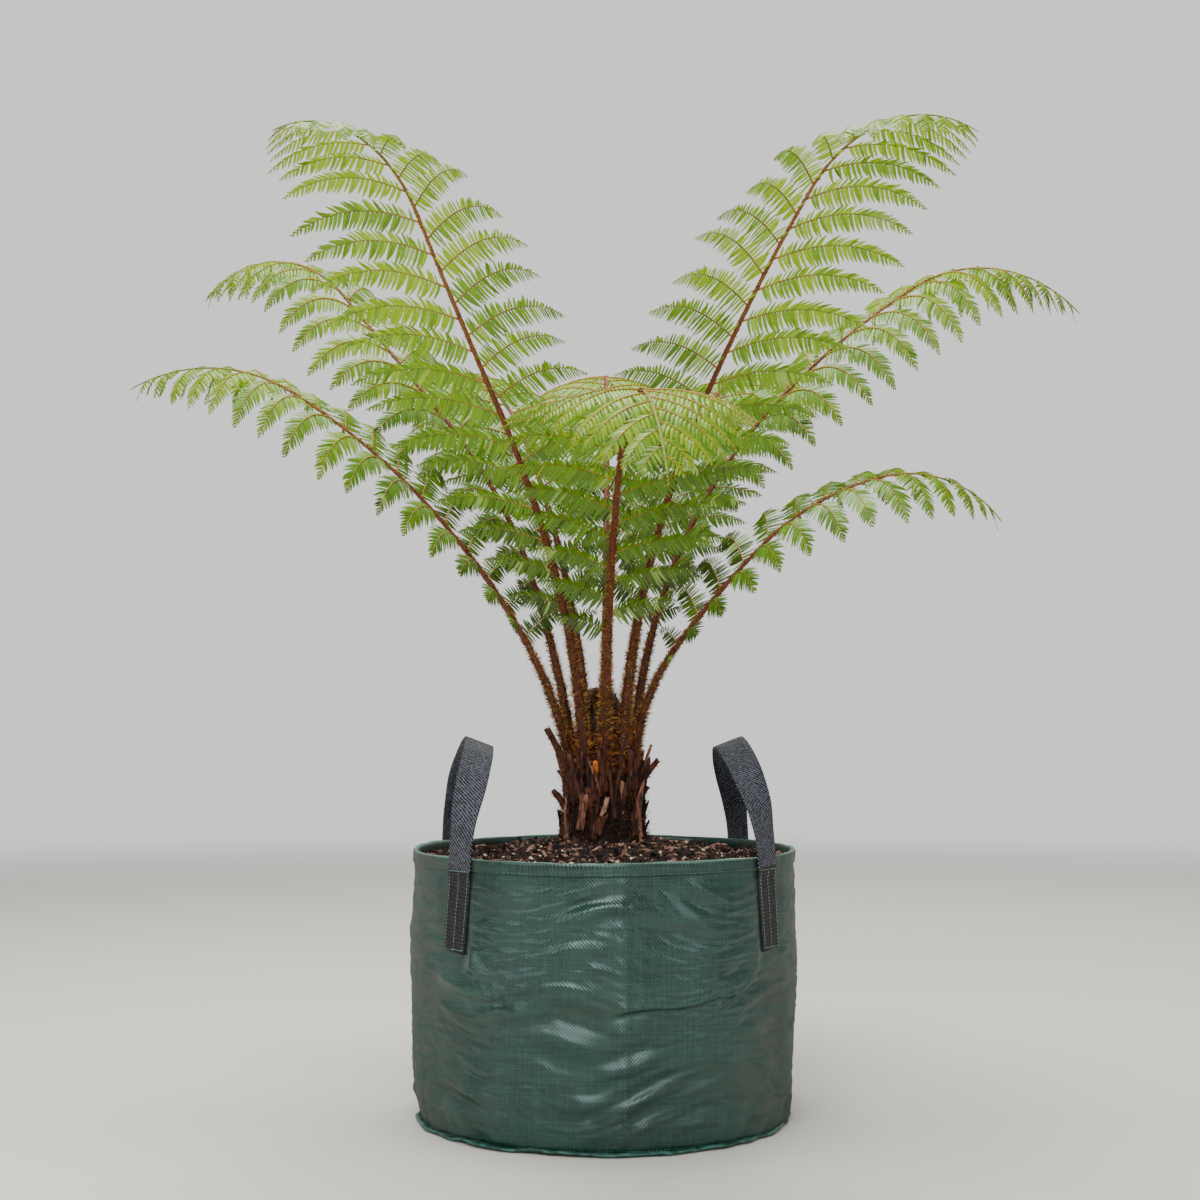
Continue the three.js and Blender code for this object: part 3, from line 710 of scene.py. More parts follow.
@dataclass
class PlanterBag:
    """The cloth bag: a wrinkled wall with a folded hem, a lapped seam and a welt at its foot.

    Profiles, and the heights of lumps and folds but for the bend, are millimetres. Angles are degrees.
    """

    height: float = 350 * MM
    outline: tuple = ((235, 0), (241, 8), (247, 34), (249.5, 90), (250.5, 190), (250, 290), (249.5, 350))
    wall: float = 3 * MM
    hem: float = 15 * MM
    girth: float = 0.25
    tapes_round: int = 680
    tape: float = 2.3 * MM
    columns: int = 400
    fine_z: float = 0.034
    soil_z: float = 0.3
    floor_shares: tuple = (0.02, 0.5, 0.9)
    seam_angle: float = 274.6
    lap: float = 0.9 * MM
    lap_turn: tuple = (1.6, 3.2)
    patch_angles: tuple = (149.8, 222.6, 38.8, 326.0)
    patch_leans: tuple = (-1, 1, 1, -1)
    patch_foot: float = 235 * MM
    patch_turn: tuple = (4, 9)
    belly: tuple = (4.0, 0.21, 0.075)
    swell: Lumps = Lumps(1.4, 0.24, 3, (1, 1, 1.4))
    bend: Lumps = Lumps(13 * MM, 0.22, 41)
    buckle: Lumps = Lumps(1, 0.12, 5, (1, 1, 5))
    buckled: Patches = Patches(0.17, 8, -0.9, 1.1)
    buckle_height: float = 1.9
    ridge: Lumps = Lumps(1, 0.1, 29, (1, 1, 4.2))
    ridged: Patches = Patches(0.15, 31, -0.3, 1.2)
    ridge_height: float = 1.2
    ridge_width: float = 0.18
    crease: Lumps = Lumps(1, 0.12, 13)
    creased: Patches = Patches(0.2, 21, -0.5, 0.9)
    crease_depth: float = 1.9
    crease_width: float = 0.13
    fine: Lumps = Lumps(0.32, 0.032, 34, (1, 1, 3.4))
    crisp: Lumps = Lumps(0.22, 0.045, 71, (1, 1, 5))
    crisped: Patches = Patches(0.09, 72, -0.4, 1.2)
    flank_calm: float = 0.45
    gather: Lumps = Lumps(1.4, 0.034, 37)
    level_turn: float = 35.0
    level_z: tuple = (0.171, 0.185)
    level_height: float = 4.2
    tuck_depth: float = 1.6
    drawn_lines: tuple = ((0.55, 0.12), (1.1, 0.09))
    drawn_height: float = 2.6
    drawn_width: float = 9 * MM
    drawn_aside: float = 30 * MM
    hem_profile: tuple = ((0.15, 0.4), (1.2, -0.6), (1.9, 1.2), (1.5, 2.4), (2, 5), (2.05, 12), (1.9, 14.6),
                          (1.1, 15.9), (-0.6, 16.3), (-2.6, 16.1), (-4.2, 15.2), (-4.9, 13), (-4.8, 2),
                          (-3.6, 0.5), (-3.15, 1.5), (-3.15, 14), (0.1, 14), (0.15, 0.4))
    hem_pucker: tuple = (Lumps(0.25, 0.02, 55), Lumps(0.9, 0.16, 56))
    hem_wave: tuple = (Lumps(0.7, 0.2, 57), Lumps(0.25, 0.045, 58))
    welt_profile: tuple = ((-1.5, 4), (-1.2, 1.2), (3, 0.9), (7, 1.3), (9.6, 2.2), (9.4, 4.2), (6.5, 5.2),
                           (3, 5), (0.5, 6.4), (-1.5, 4))
    welt_out: tuple = (Lumps(1.9, 0.13, 61), Lumps(0.8, 0.045, 62))
    welt_lift: tuple = (Lumps(1.5, 0.1, 63), Lumps(0.6, 0.035, 64))
    welt_front: float = 248.0
    welt_reach: tuple = (-3.5, 3)
    stitch_pitch: float = 5.2 * MM
    stitch: Triple = (1.6 * MM, 0.4 * MM, 0.4 * MM)
    seam_stitch: Triple = (1.7 * MM, 0.4 * MM, 0.4 * MM)
    seam_rows: tuple = (-0.35, 1.25)

    def radius(self, z: Values) -> Values:
        """Outer radius at a height, straight between the outline's points."""
        radii, heights = np.array(self.outline).T * MM
        return np.interp(z, heights, radii)

    def folds(self, angle: Array, z: Array) -> Array:
        """How far the cloth stands out from its plain shape.

        Long soft swells, a slight belly, flat buckles that are five times as wide as high, crisp
        small ones in patches, thin ridges where a flat ripple passes 0 and creases where a slanting
        one does, drawn folds that run down and inwards from the feet of the handles, one long level
        crease, and gathers at the foot. They fade out under the hem, at the foot and beneath the
        handles, and are calmer on the flanks.

        Args:
            angle: compass angles.
            z: heights.

        Returns:
            The distances in metres.
        """
        spot = compass(angle, self.girth, z)
        bent = spot + self.bend.over(spot)[..., None] * (0, 0, 1)
        flat = self.buckle.over(bent)
        buckle = self.buckle_height * np.sign(flat) * np.abs(flat) ** 1.2 * self.buckled.over(spot)
        ridge = self.ridge_height * bell(self.ridge.over(bent), self.ridge_width) * self.ridged.over(spot)
        slant = self.crease.over(spot * (1, 1, 2.6) + spot[..., [2, 2, 0]] * (0.5, 0.3, 0.4))
        crease = -self.crease_depth * bell(slant, self.crease_width) * self.creased.over(spot)
        crisp = self.crisp.over(bent) * self.crisped.over(spot)
        calm = 1 - self.flank_calm * smooth(np.abs(np.cos(np.radians(angle))), 0.75, 1)
        height, middle, width = self.belly
        total = height * bell(z - middle, width) + self.drawn_folds(angle, z) + self.level_crease(angle, z)
        total += (self.swell.over(spot) + buckle + ridge + crease + self.fine.over(bent) + crisp) * calm
        nearest = np.min([np.abs(beside(angle, patch)) for patch in self.patch_angles], axis=0)
        clear = smooth(nearest, *self.patch_turn)
        beneath = clear + (1 - smooth(z, self.patch_foot - 0.03, self.patch_foot)) * (1 - clear)
        ends = smooth(z, 0.006, 0.05) * (1 - 0.9 * smooth(z, 0.31, self.height - self.hem))
        gathers = self.gather.over(compass(angle, self.girth)) * (1 - smooth(z, 0.012, 0.07))
        return (total * ends * np.clip(beneath, 0.08, 1) + gathers * smooth(z, 0.001, 0.012)) * MM

    def level_crease(self, angle: Array, z: Array) -> Array:
        """One long crease right of the seam: a soft step out above its line, and a bell in below it.

        Args:
            angle: compass angles.
            z: heights.

        Returns:
            How far it stands out, in millimetres.
        """
        along = beside(angle, self.seam_angle) / self.level_turn
        above = z - (lerp(*self.level_z, along) + 0.002 * np.sin(along * 9))
        step = smooth(above, -0.002, 0.002) * np.exp(-np.maximum(above, 0) / 0.016)
        tuck = bell(above + 0.004, 0.004)
        shows = smooth(along, -0.1, 0.05) * (1 - smooth(along, 0.8, 1.05))
        return (self.level_height * step - self.tuck_depth * tuck) * shows

    def drawn_folds(self, angle: Array, z: Array) -> Array:
        """Folds drawn down from the handles' feet: ridges along slanting, slightly wavy lines.

        Args:
            angle: compass angles.
            z: heights.

        Returns:
            How far they stand out, in millimetres.
        """
        total = np.zeros_like(z)
        down = self.patch_foot - z
        for middle, lean in zip(self.patch_angles, self.patch_leans):
            arc = beside(angle, middle) * math.radians(1) * self.girth
            for slope, reach in self.drawn_lines:
                off = arc * lean - self.drawn_aside - down * slope + 0.003 * np.sin(down * 90)
                fade = smooth(down, -0.03, 0.02) * (1 - smooth(down, reach * 0.4, reach))
                total += self.drawn_height * bell(off, self.drawn_width) * fade
        return total

    def surface(self, angle: Array, z: Array, off: float = 0.0) -> Array:
        """Places on the wrinkled wall, which is one cloth thicker where it laps over the seam.

        Args:
            angle: compass angles.
            z: heights.
            off: distance outside the wall.

        Returns:
            The places.
        """
        past = beside(angle, self.seam_angle)
        lap = self.lap * smooth(past, -0.25, 0.05) * (1 - smooth(past, *self.lap_turn))
        lap = lap * smooth(z, 0.01, 0.03) * (1 - smooth(z, 0.325, self.height - self.hem))
        return compass(angle, self.radius(z) + self.folds(angle, z) + lap + off, z)

    def around(self) -> Array:
        """Compass angles of the columns, from the seam round to the seam again."""
        return self.seam_angle + 360 * np.arange(self.columns) / self.columns

    def tapes(self) -> Array:
        """Map places of the columns and of the first one again, in tapes from the seam."""
        return np.arange(self.columns + 1) / self.columns * self.tapes_round

    def carry(self, profile: tuple, foot: float) -> tuple[Array, Array, Array, Array]:
        """Carries a profile of an edge round the bag.

        Args:
            profile: distances out and up, in millimetres.
            foot: height that they are counted from.

        Returns:
            Compass angles, distances out and heights of the rings, and their places on a level ring.
        """
        out, up = np.array(profile, float).T * MM
        angle, out = np.meshgrid(self.around(), out)
        return angle, out, np.broadcast_to(foot + up[:, None], angle.shape), compass(angle, self.girth)

    def build_wall(self, cloth: Finish) -> None:
        """The wall as one closed shell: out under the floor, up outside, and down inside.

        Args:
            cloth: its finish.
        """
        up = [np.linspace(0, self.fine_z, 16), np.linspace(self.fine_z, self.height, 182)[1:]]
        inside = [np.linspace(self.height, self.soil_z, 16), np.linspace(self.soil_z, self.wall, 24)[1:]]
        outer = self.surface(*np.meshgrid(self.around(), np.concatenate(up)))
        angle, low = np.meshgrid(self.around(), np.concatenate(inside))
        inner = self.surface(angle, np.maximum(low, 0.02), -self.wall)
        inner[..., 2] = low
        floor = [outer[:1] * (share, share, 1) for share in self.floor_shares]
        within = [inner[-1:] * (share, share, 1) for share in self.floor_shares[::-1]]
        points = np.concatenate([*floor, outer, inner, *within])
        steps = np.linalg.norm(np.diff(points[:, 0], axis=0), axis=-1)
        rise = np.concatenate([[0], np.cumsum(steps)])
        skin = Skin()
        skin.add_rings(points, ((rise - rise[len(floor)]) / self.tape, self.tapes()))
        skin.close_ends(*points.shape[:2])
        skin.make("bag_wall", [cloth], "woven_bag", ["bag"])

    def build_hem(self, cloth: Finish) -> None:
        """The folded edge: an upside-down U carried round the rim, puckered at its stitching.

        Args:
            cloth: its finish.
        """
        foot = self.height - self.hem
        angle, out, z, spot = self.carry(self.hem_profile, foot)
        pucker = heap(self.hem_pucker, spot) * MM * smooth(z, foot - 0.01, self.height)
        points = compass(angle, self.radius(z) + out + pucker, z + heap(self.hem_wave, spot) * MM)
        skin = Skin()
        skin.add_rings(points, (np.arange(len(points)) * 0.9, self.tapes()))
        skin.make("bag_hem_band", [cloth], "woven_bag", ["rim_hem"])

    def build_welt(self, edge: Finish) -> None:
        """The sewn foot edge: a thin lip carried round the foot, waving in and out and up and down.

        Args:
            edge: its finish.
        """
        angle, out, z, spot = self.carry(self.welt_profile, 0.0)
        reach = smooth(out, 0, 7 * MM)
        front = smooth(np.cos(np.radians(angle - self.welt_front)), 0.2, 1)
        further = reach * (heap(self.welt_out, spot) + lerp(*self.welt_reach, front)) * MM
        lift = reach * np.abs(heap(self.welt_lift, spot)) * MM
        points = compass(angle, self.radius(4 * MM) - 1 * MM + out + further, z + lift)
        skin = Skin()
        skin.add_rings(points, (np.arange(len(points)) * 0.8, self.tapes()))
        skin.make("bag_foot_welt", [edge], "woven_bag", ["bag_base_welt"])

    def build_stitches(self, thread: Finish) -> None:
        """Rows of stitches: round the hem, on the welt, and two beside the seam.

        Args:
            thread: their finish.
        """
        skin = Skin()
        count = round(TURN * 0.251 / self.stitch_pitch)
        angle = 360 * np.arange(count) / count
        for z, off in ((self.height - self.hem + 1.8 * MM, 2.0 * MM), (6.6 * MM, 1.6 * MM)):
            axes = [compass(angle + 90), compass(angle, 0, 1), compass(angle)]
            sew(skin, compass(angle, self.radius(z) + off, z), axes, self.stitch)
        heights = np.arange(0.03, self.height - self.hem - 0.01, self.stitch_pitch)
        for aside in self.seam_rows:
            angle = np.full(len(heights), self.seam_angle + aside)
            axes = [compass(angle, 0, 1), -compass(angle + 90), compass(angle)]
            sew(skin, self.surface(angle, heights, 0.25 * MM), axes, self.seam_stitch)
        skin.make("bag_stitches", [thread], "woven_bag")


@dataclass
class Handle:
    """One loop of webbing, sewn to the wall on two legs and arched over."""

    name: str
    centre: float
    bag: PlanterBag
    width: float = 40 * MM
    thickness: float = 3 * MM
    foot_angle: float = 36.4
    rim_angle: float = 39.3
    apex_z: float = 491 * MM
    apex_radius: float = 165.5 * MM
    apex_tilt: float = 21
    lean_power: float = 1.42
    rise_power: float = 0.85
    rib_pitch: float = 2.4 * MM
    soft: Lumps = Lumps(0.5 * MM, 0.06, 71)
    stitch: Triple = (1.6 * MM, 0.5 * MM, 0.45 * MM)
    stitch_pitch: float = 4.4 * MM
    leg_steps: ClassVar[int] = 40
    arch_steps: ClassVar[int] = 96
    # shares of the half width and half thickness round the webbing's section
    section: ClassVar[tuple] = ((-1, 0), (-0.97, 0.8), (-0.6, 1), (-0.2, 0.96), (0.2, 0.96), (0.6, 1),
                                (0.97, 0.8), (1, 0), (0.97, -0.8), (0.6, -1), (0.2, -1), (-0.2, -1),
                                (-0.6, -1), (-0.97, -0.8))

    def leg(self, side: int, share: Array) -> tuple[Array, Array]:
        """Places up a leg, straight from its foot to the rim, and out over the hem.

        Args:
            side: -1 or 1, for the leg before or after the handle's own compass angle.
            share: 0 at the foot and 1 at the rim.

        Returns:
            The places, and the way across the webbing there.
        """
        z = lerp(self.bag.patch_foot, self.bag.height, share)
        over = smooth(z, self.bag.height - 2 * self.bag.hem, self.bag.height - self.bag.hem)
        radius = self.bag.radius(z) + 0.3 * MM + self.thickness / 2 + over * 2.1 * MM
        aside = side * lerp(self.foot_angle, self.rim_angle, share)
        return compass(self.centre + aside, radius, z), compass(self.centre + aside - side * 90)

    def arch(self) -> tuple[Array, Array]:
        """Places over the arch, by the source's rule, and the way across the webbing.

        The path goes from rim to rim as -cos of the turn, leans in by sin^1.42 and climbs by
        sin^0.85. The webbing turns from flat on the wall to lying across, tilted, at the top.

        Returns:
            The places, and the way across the webbing there.
        """
        turn = np.linspace(0, math.pi, self.arch_steps + 1)
        climbed = np.sin(turn).clip(0)
        ends = [self.leg(side, np.array(1.0))[0] for side in (-1, 1)]
        middle, half = (ends[0] + ends[1]) / 2, (ends[1] - ends[0]) / 2
        lean = compass(self.centre, self.apex_radius) - middle * (1, 1, 0)
        at = middle - half * np.cos(turn)[:, None] + lean * (climbed ** self.lean_power)[:, None]
        at[:, 2] = lerp(self.bag.height, self.apex_z - self.thickness / 2, climbed ** self.rise_power)
        level = smooth(climbed, 0, 1)
        tilt = np.radians(self.apex_tilt * level)
        heading = self.centre - np.sign(turn - math.pi / 2) * (90 - self.rim_angle) * (1 - level)
        return at, compass(heading, np.cos(tilt), np.sin(tilt))

    def path(self) -> tuple[Array, Array, Array]:
        """The webbing's path: up one leg, over the arch and down the other leg.

        Returns:
            The places, the way across the webbing and the way out of its face.
        """
        share = np.arange(self.leg_steps) / self.leg_steps
        first, last, arch = self.leg(-1, share), self.leg(1, share[::-1]), self.arch()
        at, wide = (np.concatenate(parts) for parts in zip(first, arch, last))
        way = unit(np.gradient(at, axis=0))
        wide = square_to(wide, way)
        return at, wide, np.cross(way, wide)

    def build(self, loop: Finish, patch: Finish, thread: Finish) -> None:
        """The webbing: its section with rounded edges, carried along the path and slightly wavy above.

        Args:
            loop: finish of the loop.
            patch: finish of the sewn ends.
            thread: finish of the stitches.
        """
        at, wide, face = self.path()
        along = np.concatenate([[0], np.cumsum(np.linalg.norm(np.diff(at, axis=0), axis=-1))])
        # clockwise about the path, so that the faces look outwards
        across, out = np.array(self.section[::-1], float).T
        half, thick = self.width / 2, self.thickness / 2 - 0.1 * MM
        above = smooth(at[:, 2], self.bag.height + 0.01, self.bag.height + 0.05)
        wavy = (self.soft.over(at) * above)[:, None, None]
        points = (at[:, None] + wide[:, None] * (across * half)[:, None]
                  + face[:, None] * ((out * thick)[:, None] + wavy))
        rows, cols = points.shape[:2]
        faces, row, col = grid(rows, cols, True)
        uv = np.stack([np.append(across, self.section[-1][0])[col], along[row] / self.rib_pitch], -1)
        sewn = at[:, 2] < self.bag.height - self.bag.hem + 1 * MM
        skin = Skin()
        skin.add(points, faces, sewn[row[:, 0]].astype(int), uv)
        skin.close_ends(rows, cols, 1)
        skin.make(f"{self.name}_webbing", [loop, patch], "webbing", [self.name])
        self.build_stitches(thread)

    def build_stitches(self, thread: Finish) -> None:
        """Stitches up each edge and the middle of a sewn end, and a bar at its foot and at the hem.

        Args:
            thread: their finish.
        """
        skin = Skin()
        length = self.bag.height - self.bag.patch_foot
        top = (length - self.bag.hem) / length
        up = np.arange(3.5 * MM, length * top, self.stitch_pitch) / length
        bar = np.arange(-0.8, 0.81, 0.2)
        rows = [(up, np.full(len(up), place), False) for place in (-0.84, 0.0, 0.84)]
        rows += [(np.full(len(bar), share), bar, True) for share in (3 * MM / length, top)]
        for side in (-1, 1):
            for share, place, level in rows:
                at, wide = self.leg(side, share)
                out = unit(at * (1, 1, 0))
                spot = at + wide * (place * self.width / 2)[:, None] + out * (self.thickness / 2 + 0.2 * MM)
                rise = np.broadcast_to((0.0, 0.0, 1.0), wide.shape)
                sew(skin, spot, [wide, rise, out] if level else [rise, wide, out], self.stitch)
        skin.make(f"{self.name}_stitches", [thread], "webbing")


class Bit(Enum):
    """What lies on the soil, each a finish and the chance of it."""

    DARK = (Plain("chip_dark", 0x180D0A, 0x0C0605), 0.4)
    BROWN = (Plain("chip_brown", 0x42291E, 0x2A1913), 0.34)
    PINKISH = (Plain("chip_pinkish", 0x9C7868, 0x6C4C3E), 0.23)
    GRIT = (Plain("grit_cream", 0xE6DAC0, 0xCCBEA0), 0.03)


@dataclass
class PottingMix:
    """Soil mounded up to the trunk, with bark chips and pale grit strewn over it."""

    bag: PlanterBag
    edge_z: float = 337 * MM
    top_z: float = 360 * MM
    patch_radius: float = 62 * MM
    mound: tuple = ((0.3, 0.35), (0.66, 0.8))
    lumps: tuple = (Lumps(1.3, 0.035, 91), Lumps(0.9, 0.013, 92), Lumps(0.5, 0.006, 93))
    rows: int = 76
    columns: int = 260
    chips: int = 8000
    chip_ring: tuple = (52 * MM, 243 * MM)
    chip_room: float = 244.5 * MM
    chip_length: float = 2.3 * MM
    chip_range: tuple = (0.8 * MM, 9 * MM)
    chip_stretch: float = 1.25
    chip_depths: tuple = (0.4 * MM, 1.8 * MM)
    grit_shape: Triple = (0.6, 0.55, 0.4)
    seed: int = 17

    def height(self, radius: Array) -> Array:
        """Height of the plain mound, straight between the source's points.

        Args:
            radius: distance from the middle.

        Returns:
            The heights.
        """
        edge = self.bag.radius(self.edge_z) - self.bag.wall
        radii = [self.patch_radius, *(lerp(self.patch_radius, edge, out) for out, _ in self.mound), edge]
        heights = [self.top_z, *(lerp(self.top_z, self.edge_z, down) for _, down in self.mound),
                   self.edge_z]
        return np.interp(radius, radii, heights)

    def surface(self, angle: Array, radius: Array) -> Array:
        """Places on the lumpy soil: the mound and three sizes of lumps, calmer at the trunk."""
        lumps = heap(self.lumps, compass(angle, radius)) * MM * smooth(radius, 0.03, 0.08)
        return compass(angle, radius, self.height(radius) + lumps)

    def build(self, soil: Finish, bits: list[Finish]) -> None:
        """The soil as a plug of rings from its floor up the wall and in over the mound.

        Args:
            soil: its finish.
            bits: the finishes of Bit, for the chips on it.
        """
        edge = self.bag.radius(self.edge_z) - self.bag.wall - 0.2 * MM
        radii = np.concatenate([[0.5 * MM], np.linspace(0.02, edge, self.rows)])
        angle, radius = np.meshgrid(360 * np.arange(self.columns) / self.columns, radii)
        top = self.surface(angle, radius)[::-1]
        below = compass(angle[0], self.bag.radius(self.bag.soil_z) - 7 * MM, self.bag.soil_z)[None]
        foot = compass(angle[0], self.bag.radius(0.02) - 9 * MM, 0.005)[None]
        skin = Skin()
        skin.add_rings(np.concatenate([foot * (0.01, 0.01, 1), foot, below, top]))
        skin.make("soil_mound", [soil], "soil", ["soil"])
        self.build_chips(bits)

    def build_chips(self, bits: list[Finish]) -> None:
        """Bark chips and grit: rough blocks at random places, tilted and half sunk.

        Args:
            bits: the finishes of Bit.
        """
        dice = np.random.default_rng(self.seed)
        count, (near, far) = self.chips, self.chip_ring
        radius = np.sqrt(dice.uniform(near ** 2, far ** 2, count))
        angle = dice.uniform(0, 360, count)
        up = unit(dice.normal(size=(count, 3)) * 0.45 + (0, 0, 1))
        along = square_to(dice.normal(size=(count, 3)), up)
        frames = np.stack([along, np.cross(up, along), up], 1)
        length = dice.lognormal(math.log(self.chip_length), 0.55, count).clip(*self.chip_range)
        # a longer chip stays further from the cloth
        spot = self.surface(angle, np.minimum(radius, self.chip_room - self.chip_stretch * length))
        sizes = np.stack([length * self.chip_stretch, length * dice.uniform(0.15, 0.6, count),
                          (length * dice.uniform(0.15, 0.5, count)).clip(*self.chip_depths)], -1)
        kind = dice.choice(len(Bit), count, p=[bit.value[1] for bit in Bit])
        grit = kind == list(Bit).index(Bit.GRIT)
        sizes[grit] = sizes[grit, :1].clip(0, 4 * MM) * self.grit_shape
        spot[:, 2] += sizes[:, 2] * 0.3
        skin = Skin()
        skin.add_copies(CHIP, spot, frames, sizes, kind)
        skin.make("soil_chips", bits, "soil", rounded=False)


# Trunk


UPRIGHT = (1.0, 1.0, 0.15)


class Base(Enum):
    """Finishes of the old leaf bases, with a grain that runs up them."""

    DARK = Plain("base_dark", 0x120706, 0x3E2014, 0.0035, UPRIGHT, 0.75, shine=0.15)
    BROWN = Plain("base_brown", 0x52291A, 0x160A06, 0.0035, UPRIGHT, 0.65, shine=0.25)
    WARM = Plain("base_warm", 0x8A5A46, 0x24120E, 0.0035, UPRIGHT, 0.6, shine=0.3)
    TAN = Plain("base_tan", 0xA87C64, 0x5A3C2C, 0.004, UPRIGHT, 0.6)
    CUT = Plain("base_cut", 0xC46E2A, 0x94501E, 0.004, roughness=0.6)


class Hair(Enum):
    """Finishes of the hair-like scales. Amber is partly a painted highlight, and dark partly painted shade.
    """

    AMBER = Plain("scale_amber", 0xCC8C40, 0xA06424, roughness=0.5)
    ORANGE = Plain("scale_orange", 0x843E12, 0x9C561C, roughness=0.5)
    DARK = Plain("scale_dark", 0x301508, 0x1C0B04, roughness=0.6)
    MOSS = Plain("scale_moss", 0xA89C3A, 0x7C7C28, roughness=0.6)


def strew_scales(skin: Skin, spots: Array, out: Array, on: Array, lengths: Array, width: float,
                 dice: np.random.Generator, kinds: tuple, lean: float = 0.6) -> None:
    """Adds hair-like scales that stand off a surface.

    Args:
        skin: the piece to add to.
        spots: their feet, (n, 3).
        out: the way out of the surface at each foot, (n, 3).
        on: the way that they lean, (n, 3).
        lengths: their lengths, (n,).
        width: their half width.
        dice: source of chances.
        kinds: chances of each finish.
        lean: how much they lean, against 1 for standing straight out.
    """
    count = len(spots)
    way = unit(out + on * lean + dice.normal(size=(count, 3)) * 0.38)
    wide = square_to(dice.normal(size=(count, 3)), way)
    frames = np.stack([way, wide, np.cross(way, wide)], 1)
    sizes = np.stack([lengths, np.full(count, width), lengths], -1)
    skin.add_copies(SCALE, spots, frames, sizes, dice.choice(len(kinds), count, p=kinds))


@dataclass(frozen=True)
class Stub:
    """A broken leaf base. height is above the soil, foot and tip are diameters. Millimetres."""

    angle: float
    height: float
    length: float
    foot: float
    tip: float
    rise: float
    bark: Base = Base.BROWN


STUBS = {
    "stub_left_high": Stub(209, 70, 88, 13, 10, 63),
    "stub_left_short": Stub(177, 64, 32, 10, 7, 62),
    "stub_left_low": Stub(186, 31, 40, 13, 9, 59),
    "stub_front_left": Stub(255, 30, 50, 11, 8, 85, Base.WARM),
    "stub_front_right": Stub(299, 26, 54, 12, 9, 86, Base.TAN),
    "stub_right_high": Stub(352, 64, 50, 12, 8, 57),
    "stub_right_low": Stub(6, 43, 30, 11, 7, 64),
    "stub_rear_right": Stub(48, 40, 46, 13, 9, 62),
    "stub_rear": Stub(98, 26, 40, 12, 9, 60),
    "stub_rear_left": Stub(142, 48, 54, 13, 9, 64),
}


